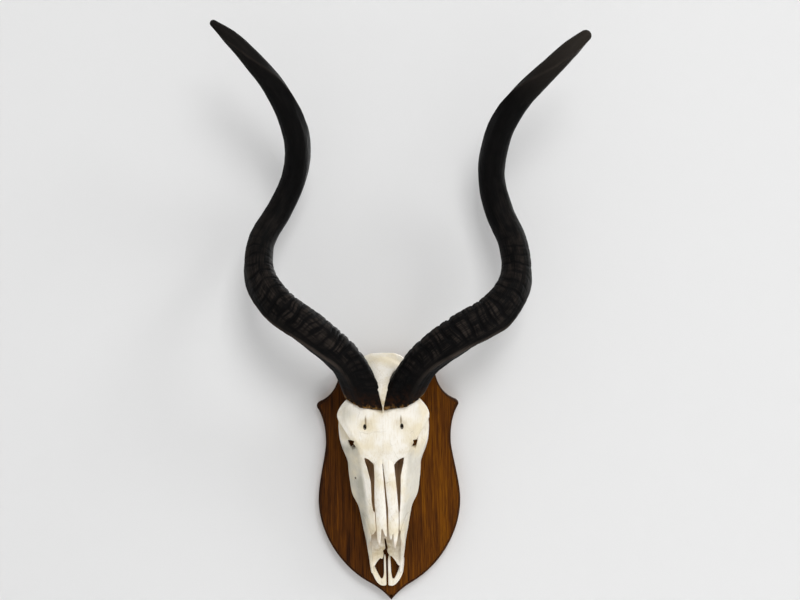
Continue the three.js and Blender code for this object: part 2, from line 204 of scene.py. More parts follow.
def stained_board():
    """Brown stained hardwood, brushed along the grain and varnished satin. The eye gets upright
    figure about 12 mm wide, fine dark pores a few centimetres long, a darker routed edge, and
    painted shade that darkens the board toward its left."""
    material, add = new_material("brown stained hardwood, satin varnish")
    place = add("ShaderNodeTexCoord").outputs["Object"]
    figure = add("ShaderNodeMapping", _0=place, Scale=(120, 60, 3.2))
    warp = add("ShaderNodeTexNoise", _0=place, Scale=9.0, Detail=3.0)
    bend = add("ShaderNodeVectorMath", "SCALE", _0=warp.outputs["Color"], Scale=1.6)
    bent = add("ShaderNodeVectorMath", "ADD", _0=figure, _1=bend)
    bands = add("ShaderNodeTexNoise", Vector=bent, Scale=1.0, Detail=5.0, Roughness=0.55)
    fine = add("ShaderNodeMapping", _0=place, Scale=(620, 620, 16))
    streaks = add("ShaderNodeTexNoise", Vector=fine, Scale=1.0, Detail=3.0)
    both = add("ShaderNodeMix", {"data_type": "FLOAT"}, _0=0.52, _2=bands.outputs["Fac"],
        _3=streaks.outputs["Fac"])
    parts = add("ShaderNodeSeparateXYZ", _0=place)
    # painted shade: the figure is darkened toward the board's left and lightened toward its right,
    # for light from the right
    board_shade_leftward = add("ShaderNodeMapRange", Value=parts.outputs["X"], _1=-0.12, _2=0.09, _3=-0.11,
        _4=0.03)
    tone = add("ShaderNodeMath", "ADD", _0=both, _1=board_shade_leftward)
    colour = add("ShaderNodeValToRGB", _0=tone,
        stops=[(0.28, WOOD_DARK), (0.49, WOOD_MIDDLE), (0.66, WOOD_LIGHT)])
    pore_place = add("ShaderNodeMapping", _0=place, Scale=(900, 900, 32))
    pores = add("ShaderNodeTexVoronoi", Vector=pore_place, Scale=1.0)
    pore = add("ShaderNodeMapRange", Value=pores.outputs["Distance"], _1=0.12, _2=0.34, _3=0.8,
        _4=0.0)
    with_pores = add("ShaderNodeMix", {"data_type": "RGBA"}, _0=pore, _6=colour,
        _7=paint(WOOD_PORE))
    toward_wall = add("ShaderNodeMapRange", Value=parts.outputs["Y"], _1=-SHIELD_THICKNESS + 0.0002,
        _2=-SHIELD_THICKNESS + 0.002, _4=0.85)
    edged = add("ShaderNodeMix", {"data_type": "RGBA"}, _0=toward_wall, _6=with_pores.outputs[2],
        _7=paint(WOOD_EDGE))
    at_back = add("ShaderNodeMapRange", Value=parts.outputs["Y"], _1=-0.0045, _2=-0.0002, _4=0.8)
    raw = add("ShaderNodeValToRGB", _0=both, stops=[(0.35, "#6f4f2e"), (0.65, BACK_OF_BOARD)])
    whole = add("ShaderNodeMix", {"data_type": "RGBA"}, _0=at_back, _6=edged.outputs[2], _7=raw)
    dull = add("ShaderNodeMapRange", Value=both, _1=0.3, _2=0.7, _3=0.52, _4=0.38)
    dents = add("ShaderNodeBump", Strength=0.18, Distance=0.0004, Height=both)
    grain_dents = add("ShaderNodeBump", {"invert": True}, Strength=0.3, Distance=0.0002,
        Height=pore, Normal=dents)
    surface = add("ShaderNodeBsdfPrincipled", Base_Color=whole.outputs[2], Roughness=dull, IOR=1.5,
        Normal=grain_dents, Specular_IOR_Level=0.06)
    add("ShaderNodeOutputMaterial", Surface=surface)
    return material


blunt, sharp = shield_outline(True), shield_outline(False)
shoulder = -SHIELD_THICKNESS + EDGE_STEP + EDGE_ROUND
rings = [(0.0006, 0.0), (0.0, -0.0006)]
for turn in np.linspace(0, math.pi / 2, 7):
    rings.append((EDGE_ROUND * (1 - math.cos(turn)), shoulder - EDGE_ROUND * math.sin(turn)))
rings += [(EDGE_ROUND + 0.0004, shoulder - EDGE_ROUND), (EDGE_ROUND + 0.0009, -SHIELD_THICKNESS),
          (EDGE_ROUND + 0.0032, -SHIELD_THICKNESS)]
count = len(blunt)
right_ear = int(np.argmin(np.hypot(*(sharp - (SHIELD_WIDEST, 0.120)).T)))
points = []
for inset, y in rings:
    part = min(inset / EDGE_ROUND, 1)
    inner = uncrossed(drawn_in(sharp, inset), (right_ear, count - right_ear))
    ring = (1 - part) * drawn_in(blunt, inset) + part * inner
    points += [(x, y, z) for x, z in ring]
board = mesh_piece("shield_board", points, tube(0, len(rings), count), stained_board(),
                   smooth=False)
applied(board)

# what is milled out of the back: the hanger's recess and the two countersunk holes
RECESS = ((-0.0323, 0.0323), (-0.0034, 0.004), (0.1122, 0.1278))
HOLE_PROFILE = [(0.0048, 0.004), (0.0048, -0.0012), (0.0026, -0.0032), (0.0026, -0.030)]
HOLE_SIDES = 24
points = [(x, y, z) for x in RECESS[0] for y in RECESS[1] for z in RECESS[2]]
faces = [(0, 1, 3, 2), (4, 6, 7, 5), (0, 4, 5, 1), (2, 3, 7, 6), (0, 2, 6, 4), (1, 5, 7, 3)]
for x, z in SKULL_SCREWS:
    faces += tube(len(points), len(HOLE_PROFILE), HOLE_SIDES)
    for radius, y in HOLE_PROFILE:
        for k in range(HOLE_SIDES):
            turn = 2 * math.pi * k / HOLE_SIDES
            points.append((x + radius * math.cos(turn), y, z + radius * math.sin(turn)))
milled = applied(mesh_piece("milled_out", points, faces, board.data.materials[0]))
cutting = board.modifiers.new("milled", "BOOLEAN")
cutting.object = milled
cutting.solver = "EXACT"
applied(board)
bpy.data.objects.remove(milled)
carry(board, "shield_wood", "shield")

# ---------------------------------------------------------------- hanger, nails and screws
# A sawtooth hanger of zinc-plated sheet, its ends nailed into the recess, and two long
# countersunk wood screws driven from the back of the board into the skull.


def zinc_plate():
    """Bright zinc plating on pressed steel. The eye gets a cool grey metal with the faint
    clouds of the plating, about 4 mm across, and fine scratches from handling."""
    material, add = new_material("bright zinc plated steel")
    place = add("ShaderNodeTexCoord").outputs["Object"]
    clouds = add("ShaderNodeTexNoise", Vector=place, Scale=250.0, Detail=3.0)
    colour = add("ShaderNodeValToRGB", _0=clouds.outputs["Fac"],
        stops=[(0.35, "#8f9498"), (0.65, "#c4c7c6")])
    scratched = add("ShaderNodeMapping", _0=place, Rotation=(0.3, 0.5, 0.2),
        Scale=(300, 4000, 4000))
    scratches = add("ShaderNodeTexNoise", Vector=scratched, Scale=1.0, Detail=2.0)
    dull = add("ShaderNodeMapRange", Value=scratches.outputs["Fac"], _1=0.3, _2=0.7, _3=0.24,
        _4=0.42)
    dents = add("ShaderNodeBump", Strength=0.15, Distance=0.0001, Height=scratches.outputs["Fac"])
    surface = add("ShaderNodeBsdfPrincipled", Base_Color=colour, Metallic=1.0, Roughness=dull,
        Normal=dents)
    add("ShaderNodeOutputMaterial", Surface=surface)
    return material


zinc = zinc_plate()
for name in ("sawtooth_hanger", "hanger_nail_left", "hanger_nail_right",
             "skull_screw_upper", "skull_screw_lower"):
    for place in bpy.data.objects[name].material_slots:
        place.material = zinc

# ---------------------------------------------------------------- skull
# The cleaned and bleached skull of a greater kudu bull, without its lower jaw: one fused bone
# from the palate to the back of the head. It is worked out in millimetres as a block of
# distances to the bone's surface (x across, h out from the wall, z up), then skinned.

SKULL_X = -7.0         # millimetres: the skull hangs a little left of the shield's middle
SKULL_STEP = 1.1
WALL_OF_BONE = 3.2     # how thick the face's bone is left
FOOT_OF_HORN = (33, 133, 120)
FOOT_SLOPE = (-0.275, 0.451, 0.849)
BONE_LIGHT = "#f6f1e6"
BONE_WARM = "#e9dec4"
BONE_FIBRE = "#cbb890"
BONE_PORE = "#9c8559"
BONE_CRACK = "#8f7f5c"
BONE_SEAM = "#b59c6c"
BONE_STAIN_AND_SHADE = "#a98f52"
BONE_INSIDE_AND_SHADE = "#b98a48"
BONE_SHADE_GREY = "#a39f8f"
BONE_GROOVE_SHADE = "#75603a"
BONE_SHADOW_BLACK = "#1d130a"


def curve_through(at, values, where):
    """Smooth values at `where` along stations `at`; values may have further axes."""
    at, values = np.array(at, float), np.array(values, float)
    slope = np.gradient(values, at, axis=0)
    where = np.clip(where, at[0], at[-1])
    i = np.clip(np.searchsorted(at, where, side="right") - 1, 0, len(at) - 2)
    shape = (-1,) + (1,) * (values.ndim - 1)
    gap = (at[i + 1] - at[i]).reshape(shape)
    t = ((where - at[i]).reshape(shape)) / gap
    return ((2 * t ** 3 - 3 * t ** 2 + 1) * values[i] + (t ** 3 - 2 * t ** 2 + t) * gap * slope[i]
            + (3 * t ** 2 - 2 * t ** 3) * values[i + 1] + (t ** 3 - t ** 2) * gap * slope[i + 1])


class BoneBlock:
    """Distances to a bone's surface through a block of space: negative inside the bone."""

    def __init__(self, low, high, step):
        self.step = step
        self.axes = [np.arange(l + step / 2, h, step, dtype=np.float32) for l, h in zip(low, high)]
        self.field = np.full([len(a) for a in self.axes], 30.0, np.float32)

    def window(self, low, high, margin=8.0):
        """The part of the block from low to high with a margin: its slices and its places."""
        cut = []
        for axis, l, h in zip(self.axes, low, high):
            a, b = np.searchsorted(axis, [l - margin, h + margin])
            cut.append(slice(a, max(b, a)))
        grid = np.ix_(*[axis[c] for axis, c in zip(self.axes, cut)])
        return tuple(cut), grid

    def grow(self, shape, soft=2.0):
        """Adds a shape, blended into what is there over so many millimetres."""
        low, high, distance = shape
        cut, grid = self.window(low, high)
        near = distance(*grid)
        here = self.field[cut]
        blend = np.maximum(soft - np.abs(here - near), 0) / soft
        self.field[cut] = np.minimum(here, near) - blend * blend * soft / 4

    def cut(self, shape, soft=1.0):
        """Takes a shape away, with its edges rounded over so many millimetres."""
        low, high, distance = shape
        cut, grid = self.window(low, high)
        away = -distance(*grid)
        here = self.field[cut]
        blend = np.maximum(soft - np.abs(here - away), 0) / soft
        self.field[cut] = np.maximum(here, away) + blend * blend * soft / 4

    def both_halves(self):
        """The block mirrored to the other side of x = 0."""
        whole = BoneBlock((0, 0, 0), (0, 0, 0), self.step)
        whole.axes = [np.concatenate([-self.axes[0][::-1], self.axes[0]]), *self.axes[1:]]
        whole.field = np.concatenate([self.field[::-1], self.field], axis=0)
        return whole

    def soften(self, times):
        """Evens the distances out between neighbours, which rounds small edges."""
        for _ in range(times):
            for axis in range(3):
                f = np.moveaxis(self.field, axis, 0)
                f[1:-1] = 0.25 * f[:-2] + 0.5 * f[1:-1] + 0.25 * f[2:]

    def skin(self):
        """The surface's vertices (x, y, z) in millimetres, and its quads."""
        grid = openvdb.FloatGrid()
        grid.background = 5.0
        grid.copyFromArray(np.clip(self.field, -5, 5))
        points, faces = grid.convertToQuads()
        start = np.array([axis[0] for axis in self.axes])
        x, h, z = (points * self.step + start).T
        return np.stack([x, -h, z], 1), faces


def oval(centre, radii):
    """An ellipsoid: its low corner, its high corner and its distance."""
    c, r = np.array(centre, np.float32), np.array(radii, np.float32)

    def distance(x, h, z):
        u, v, w = x - c[0], h - c[1], z - c[2]
        near = np.sqrt((u / r[0]) ** 2 + (v / r[1]) ** 2 + (w / r[2]) ** 2)
        steep = np.sqrt((u / r[0] ** 2) ** 2 + (v / r[1] ** 2) ** 2 + (w / r[2] ** 2) ** 2)
        return near * (near - 1) / np.maximum(steep, 1e-4)
    return c - r, c + r, distance


def rod(rows):
    """A round bar through [x, h, z, radius] rows."""
    rows = np.array(rows, np.float32)

    def distance(x, h, z):
        best = None
        for p, q in zip(rows[:-1], rows[1:]):
            step = q[:3] - p[:3]
            along = (x - p[0]) * step[0] + (h - p[1]) * step[1] + (z - p[2]) * step[2]
            t = np.clip(along / (step @ step), 0, 1)
            gap = np.sqrt((x - p[0] - t * step[0]) ** 2 + (h - p[1] - t * step[1]) ** 2
                          + (z - p[2] - t * step[2]) ** 2) - (p[3] + t * (q[3] - p[3]))
            best = gap if best is None else np.minimum(best, gap)
        return best
    reach = rows[:, 3].max()
    return rows[:, :3].min(0) - reach, rows[:, :3].max(0) + reach, distance


def flat_distance(u, v, corners):
    """Signed distance to a closed outline whose corners may change along the last axis."""
    best, inside = None, False
    for k in range(len(corners)):
        p, q = corners[k], corners[(k + 1) % len(corners)]
        eu, ev = q[0] - p[0], q[1] - p[1]
        wu, wv = u - p[0], v - p[1]
        t = np.clip((wu * eu + wv * ev) / np.maximum(eu * eu + ev * ev, 1e-6), 0, 1)
        gap = (wu - eu * t) ** 2 + (wv - ev * t) ** 2
        best = gap if best is None else np.minimum(best, gap)
        rise = np.where(np.abs(ev) < 1e-6, 1e-6, ev)
        crosses = ((p[1] > v) != (q[1] > v)) & (wu < eu * wv / rise)
        inside = inside ^ crosses
    return np.sqrt(best) * np.where(inside, -1, 1)


def shell_of(rows):
    """A body whose cross-section, an outline of (x, h) corners, changes with z."""
    stations = [row[0] for row in rows]
    corners = np.array([row[1:] for row in rows], np.float32)

    def distance(x, h, z):
        along = curve_through(stations, corners, z.ravel()).astype(np.float32)
        outline = [(along[:, k, 0], along[:, k, 1]) for k in range(along.shape[1])]
        near = flat_distance(x, h, outline)
        return np.maximum(near, np.maximum(stations[0] - z, z - stations[-1]))
    low = np.array([corners[..., 0].min(), corners[..., 1].min(), stations[0]])
    high = np.array([corners[..., 0].max(), corners[..., 1].max(), stations[-1]])
    return low, high, distance


def window_in(outline, h_low, h_high):
    """A straight-sided opening seen from the front: an outline of (x, z) corners."""
    corners = np.array(outline, np.float32)

    def distance(x, h, z):
        near = flat_distance(x, z, corners)
        return np.maximum(near + 0 * h, np.maximum(h_low - h, h - h_high))
    return ((corners[:, 0].min(), h_low, corners[:, 1].min()),
            (corners[:, 0].max(), h_high, corners[:, 1].max()), distance)


# Half cross-sections, from the ridge of the nose round the cheek to the palate.
FACE = [
    (-116, (-20, 85), (17, 83), (27, 74), (35, 58), (30, 42), (24, 39), (22, 41), (-20, 41)),
    (-104, (-20, 90), (18, 88), (29, 78), (38, 61), (32, 40), (23, 37), (21, 41), (-20, 41)),
    (-88, (-20, 94), (19, 92), (31, 81), (41, 63), (34, 38), (23, 36), (20, 41), (-20, 41)),
    (-72, (-20, 97), (20, 95), (34, 83), (44, 64), (36, 37), (23, 35), (20, 42), (-20, 42)),
    (-56, (-20, 100), (22, 98), (37, 85), (47.5, 66), (39, 36), (24, 35), (20, 42), (-20, 42)),
    (-36, (-20, 104), (24, 101), (43, 88), (57, 69), (44, 35), (26, 35), (21, 43), (-20, 44)),
    (-10, (-20, 110), (26, 106), (47, 91), (61.5, 71), (47, 35), (29, 35), (22, 45), (-20, 46)),
    (14, (-20, 116), (30, 111), (49, 95), (63.5, 73), (48, 36), (31, 36), (23, 47), (-20, 48)),
    (32, (-20, 122), (37, 118), (52, 101), (61, 77), (44, 44), (30, 42), (22, 51), (-20, 52)),
    (47, (-20, 127), (42, 123), (52, 106), (54, 84), (36, 52), (26, 50), (18, 56), (-20, 58)),
    (56, (-20, 128), (38, 124), (44, 108), (42, 90), (30, 60), (22, 58), (16, 60), (-20, 62)),
]
FOREHEAD = [
    (26, (-20, 120), (30, 117.5), (36.5, 112), (34, 106), (-20, 106)),
    (36, (-20, 123), (33, 121), (39, 116), (37, 108), (-20, 108)),
    (48, (-20, 127), (38, 124.5), (45, 119), (43, 112), (-20, 111)),
    (60, (-20, 130), (46, 127), (54.5, 121), (52, 115), (-20, 114)),
    (76, (-20, 132), (54, 129), (64.5, 122.5), (61, 117), (-20, 116)),
    (92, (-20, 133.5), (62, 130), (74, 122), (70, 115), (-20, 116)),
    (105, (-20, 134.5), (66, 130.5), (79.5, 121.5), (76, 113), (-20, 114)),
    (116, (-20, 134), (64, 131), (77, 121), (73, 110), (-20, 110)),
    (124, (-20, 131), (60, 130), (72, 121), (68, 107), (-20, 104)),
    (132, (-20, 126), (50, 127), (65, 118), (61, 102), (-20, 100)),
    (142, (-20, 119), (42, 120), (54, 111), (50, 94), (-20, 92)),
    (156, (-20, 111), (34, 112), (44, 100), (40, 86), (-20, 84)),
    (170, (-20, 103), (28, 104), (38, 92), (34, 80), (-20, 78)),
]
CHEEK = [
    (-4, (44, 92), (55, 80), (57, 68), (52, 62), (42, 82)),
    (14, (48, 97), (60, 83), (62, 68), (56, 62), (46, 84)),
    (30, (52, 101), (64, 88), (67, 66), (61, 60), (48, 90)),
    (44, (55, 102), (69, 88), (73, 64), (67, 59), (51, 93)),
    (58, (58, 100), (73, 86), (77, 65), (72, 61), (54, 92)),
    (74, (61, 98), (76, 85), (79, 67), (74, 63), (58, 90)),
    (90, (66, 94), (78, 84), (79, 69), (74, 66), (64, 87)),
    (104, (69, 89), (76, 82), (76, 70), (71, 68), (68, 82)),
    (118, (67, 81), (71, 78), (71, 68), (67, 66), (66, 74)),
    (134, (57, 76), (61, 74), (61, 63), (56, 62), (55, 70)),
    (150, (46, 75), (52, 71), (51, 60), (45, 60), (44, 69)),
]
BRAIN_FLOOR = [
    (44, (-20, 118), (34, 112), (30, 80), (22, 52), (-20, 60)),
    (66, (-20, 122), (27, 116), (24, 84), (18, 50), (-20, 50)),
    (92, (-20, 124), (27, 116), (26, 84), (16, 44), (-20, 42)),
    (120, (-20, 122), (34, 112), (36, 82), (17, 41), (-20, 38)),
    (150, (-20, 115), (42, 104), (44, 78), (20, 39), (-20, 36)),
    (182, (-20, 100), (38, 94), (40, 70), (22, 40), (-20, 36)),
]

# The nasal bones' outlines (x, z) from the front: down the outer edge, round the forked tip,
# and up the gap between them.
NASAL_LEFT = [
    (-3.3, 31.4), (-6, 39), (-12, 37), (-16.5, 27), (-17.8, 16), (-17.5, -3), (-18.2, -25),
    (-18.3, -50), (-17.2, -66), (-16.5, -85), (-15.8, -103), (-14.6, -116), (-12.8, -122.4),
    (-11.1, -123.8), (-9.7, -122), (-8.5, -112), (-7.5, -100), (-6.8, -89.2), (-5.4, -95),
    (-3.0, -102), (-0.6, -107.6), (1.4, -109.6), (2.3, -107), (2.6, -98), (2.5, -87),
    (1.9, -58), (0.4, -34), (-1.2, -6.5), (-2.5, 14)]
NASAL_RIGHT = [
    (-3.0, 31.4), (-1.9, 14), (0.5, -6.5), (2.7, -34), (4.9, -58), (4.5, -87), (5.0, -100),
    (6.6, -110), (9.3, -115.8), (10.9, -111), (12.1, -103), (12.9, -96), (13.2, -104),
    (13.5, -118), (14.2, -127), (15.1, -130.8), (16.6, -128.4), (18.6, -122), (20.4, -114),
    (22.5, -102), (23.4, -86), (23.6, -69), (22.8, -52), (21.2, -26), (18.8, 2), (17.8, 15),
    (16.3, 26), (12, 36), (5, 39), (-1.6, 37)]
# The blade of a front jaw bone: half cross-sections beside the cheek bone.
JAW_BLADE = [
    (-180, (23.5, 26), (27.5, 28), (26.5, 36), (21.5, 35)),
    (-165, (24.5, 27), (29, 30), (28.5, 43), (23.5, 43)),
    (-150, (25.5, 29), (31, 34), (30.5, 52), (24, 53)),
    (-135, (27, 35), (33, 42), (32.5, 60), (25, 62)),
    (-120, (28, 45), (35, 52), (33.6, 70), (25.5, 74)),
    (-105, (29.5, 60), (38, 61), (31.6, 78.5), (24.5, 83)),
    (-92, (32, 66), (39.4, 65), (32.2, 80), (27, 84.5)),
    (-80, (35.4, 68), (41, 67), (35, 80), (31.6, 82.5)),
    (-68, (40, 70), (42.8, 70), (39.8, 76.5), (38.4, 77.5)),
]

head = BoneBlock((0, 17, -172), (86, 142, 219), SKULL_STEP)
face_low, face_high, face_distance = shell_of(FACE)
head.grow((face_low, face_high, face_distance), 2)
head.grow(shell_of(BRAIN_FLOOR), 6)
head.grow(oval((0, 80, 155), (46, 43, 51)), 10)
head.grow(rod([(0, 76, 204.5, 7), (18, 76, 204, 7), (28, 74, 200.5, 7), (38, 70, 192, 6.5),
               (43, 62, 176, 5)]), 7)
head.grow(shell_of(FOREHEAD), 4)
head.grow(oval((0, 114, 142), (34, 20, 26)), 8)
# eye sockets, and the hollow of the nose with the way out of it behind the palate
head.cut(oval((57, 90, 79), (24, 27, 25)), 3)
head.cut(oval((66, 88, 80), (26, 24, 22)), 3)
head.cut(oval((60, 74, 122), (20, 26, 28)), 4)


def rim_of_nose(x, h, z):
    """Clears the cheek bones away in front of the sloping rim of the nose's opening."""
    under_nasals = 6 * np.clip((20 - x) / 4, 0, 1)
    return np.maximum(z + 103 - under_nasals + 0.42 * (88 - h), 44.5 - h)


def nose_distance(x, h, z):
    floor = 44.5 + 4.5 * np.clip((z + 116) / 50, 0, 1)
    walls = face_distance(x, h, np.maximum(z, -106)) + WALL_OF_BONE
    return np.maximum(walls, np.maximum(floor - h, z - 26))


head.cut((face_low, (60, 112, 30), nose_distance), 2)
head.cut((face_low, (60, 112, -80), rim_of_nose), 2)
head.cut(oval((50, 143.5, 110), (19, 14, 15)), 6)
head.cut(window_in([(-9, 4), (11, 4), (14, 30), (10, 60), (-9, 60)], 34, 76), 3)
# outer rim of the eye, cheek arch, and the post behind the eye
head.grow(shell_of(CHEEK), 3)
head.grow(rod([(70, 119, 108, 6), (74, 108, 105, 5), (75, 94, 100, 4.6), (73, 84, 98, 5)]), 5)
# back of the skull
head.grow(oval((0, 62, 190), (40, 30, 15)), 8)
head.grow(rod([(10, 40, 192, 9), (16, 36, 184, 8)]), 4)
head.grow(rod([(36, 60, 176, 8), (34, 40, 170, 6), (32, 24.5, 164, 3)]), 5)
head.grow(oval((21, 40, 149), (8, 12, 14)), 3)
head.grow(rod([(15, 52, 24, 2.6), (15, 47, 60, 2.4), (12, 42, 96, 3)]), 4)
head.grow(rod([(16, 46, 26, 2.2), (17, 40, 22, 1.6)]), 2)
head.cut(oval((0, 46, 204), (11, 11, 30)), 3)
head.cut(rod([(48, 64, 160, 3), (40, 66, 158, 3)]), 2)
# bone cores under the horns, cut off square to the horns' feet
head.grow(rod([(31, 90, 104, 25.5), (34.3, 106, 130, 25.5)]), 6)
room = rod([(34, 104, 124, 33.4), (39.5, 112, 146, 33.4), (66, 136, 200, 33.4)])
corner = rod([(13.6, 119, 108, 12), (15.6, 122, 124, 12), (21, 127, 150, 12), (32, 132, 176, 12)])


def horn_room(x, h, z):
    above = sum(n * (p - q) for n, p, q in zip(FOOT_SLOPE, (x, h, z), FOOT_OF_HORN))
    ridge = 1.2 + 0.24 * np.clip(z - 120, 0, 90) + 1.5 * np.clip(z - 148, 0, 90)
    beside = np.maximum(ridge - x, 100 - h)
    return np.maximum(np.minimum(room[2](x, h, z), np.minimum(corner[2](x, h, z), beside)),
                      -above - 0.4)


head.cut(((0, 70, 88), (100, 145, 235), horn_room), 1)
# seats of the teeth and of the front jaw bones
for i in range(6):
    x, z, half = 27 + 2.1 * (i - 0.35), -88 + 17.6 * (i + 0.5), 6.3 + 0.55 * i
    head.cut(window_in([(x - half, z - 8.3), (x + half, z - 8.3), (x + half, z + 8.3),
                        (x - half, z + 8.3)], 17, 42.3), 0.6)
blade_low, blade_high, blade = shell_of(JAW_BLADE)
head.cut((blade_low, blade_high, lambda x, h, z: blade(x, h, z) + 0.3), 0.4)

skull_block = head.both_halves()
# the shelf of the palate in front of the nose, with its broken edges
skull_block.grow(window_in([
    (-28, -108), (-28, -150), (-26, -167), (-21.5, -168), (-17, -160), (-10.5, -152.5), (-8, -156),
    (-5, -150), (-4.5, -141), (-1, -138), (-2, -124), (0.4, -136), (2, -143), (4.5, -150),
    (9, -150), (14, -156), (21, -167), (26, -167), (28, -150), (28, -108)], 37.5, 40.5), 1.5)
skull_block.grow(shell_of([(-136, (-27, 38.5), (27, 38.5), (27, 40.6), (-27, 40.6)),
                           (-116, (-27, 38.5), (27, 38.5), (27, 44.6), (-27, 44.6)),
                           (-100, (-27, 38.5), (27, 38.5), (27, 45), (-27, 45))]), 1)
skull_block.cut(window_in([
    (-3.2, -117), (-1.2, -117), (0.8, -127), (2.6, -136), (-2.2, -140), (2.2, -143.5),
    (6.2, -150.5), (2.6, -151.5), (-1, -145.5), (-6.6, -141), (-1.2, -136), (-2.2, -127)],
                          30, 52), 0.5)
# the long openings beside the nasal bones, and the slots that the nasal bones lie in
skull_block.cut(window_in([(-35, 34), (-26, 29.5), (-19, 22), (-15, 10), (-15, -64), (-20.5, -62),
                           (-22.7, -46), (-23.5, -10), (-29.6, 16)], 60, 140), 1)
skull_block.cut(window_in([(34.5, 33), (24, 28), (18, 20), (15, 10), (15, -66), (24.4, -66),
                           (26.3, -47), (27.6, 0), (32.5, 21)], 60, 140), 1)
for outline in (NASAL_LEFT, NASAL_RIGHT):
    low, high, bone = window_in(outline, 74, 140)
    skull_block.cut((low, high, lambda x, h, z, bone=bone: np.maximum(
        bone(x, h, z) - 0.4, z - 21 + 0.02 * x ** 2)), 0.5)
skull_block.cut(window_in([(-3.6, 31), (-1.6, 8), (2.6, -95), (5, -95), (0.2, 8), (-2.8, 31)],
                          74, 140), 0.3)
# the slanted end of each cheek bone beside the nasal bones
skull_block.cut(window_in([(-15, -98), (-18, -100), (-22.5, -106), (-26, -113), (-27, -118),
                           (-15, -118)], 62, 140), 1.5)
skull_block.cut(window_in([(15, -94), (23.4, -97), (26, -105), (27.5, -113), (27.5, -118),
                           (15, -118)], 62, 140), 1.5)
# the small gap at the front corner of each eye, and the holes over the eyes
EYE_GAPS = (np.array([(-61.2, 64.8), (-49.8, 62.3), (-56.4, 51.8)]),
            np.array([(49.7, 62.3), (58.2, 62.9), (55.0, 50.8)]))


def through_gap(gap, x, h, z):
    """Distance to an opening that slants down and outward on its way back through the bone."""
    out = 0.034 if gap[0, 0] < 0 else -0.008
    return flat_distance(x + out * (120 - h), z + 0.092 * (120 - h), gap.astype(np.float32))


for gap in EYE_GAPS:
    low, high, _ = window_in(gap, 40, 140)
    skull_block.cut((low, high, lambda x, h, z, gap=gap: np.maximum(
        through_gap(gap, x, h, z), 40 - h)), 0.8)
for side in (-1, 1):
    skull_block.cut(rod([(side * 31.8, 114, 84.5, 2.4), (side * 31.8, 137, 85.5, 2.5)]), 0.6)
    skull_block.cut(rod([(side * 31.6, 114, 87.5, 2.3), (side * 31.6, 137, 88.5, 2.4)]), 0.6)
    skull_block.cut(rod([(side * 31.2, 131.6, 91, 2.2), (side * 30.2, 132.4, 98, 1.9),
                         (side * 29.2, 133.8, 106, 1.0)]), 1)
skull_block.cut(rod([(-53, 92, -4, 1.6), (-49, 84, -6, 1.5)]), 1)
skull_block.cut(rod([(25.4, 133.6, 90, 1.3), (24.6, 133.6, 80, 1.0)]), 1)
# the splinter at one corner of the forehead, and the chips along the edge of one cheek
skull_block.grow(rod([(-66.5, 119, 122, 2.2), (-64, 121, 130, 1.1), (-63, 121, 136, 0.6)]), 1)
for x, z, reach in ((-49.6, -59, 2.4), (-48.8, -65.5, 2.1), (-46.6, -70.5, 1.4)):
    skull_block.cut(rod([(x, 58, z, reach), (x + 0.6, 74, z - 1.5, reach)]), 0.4)
# the holes of the two screws
skull_block.cut(rod([(0, 10, 152, 2.7), (0, 53, 152, 2.7)]), 0.6)
skull_block.cut(rod([(0, 10, -52, 2.7), (0, 43, -52, 2.7)]), 0.6)
skull_block.soften(1)


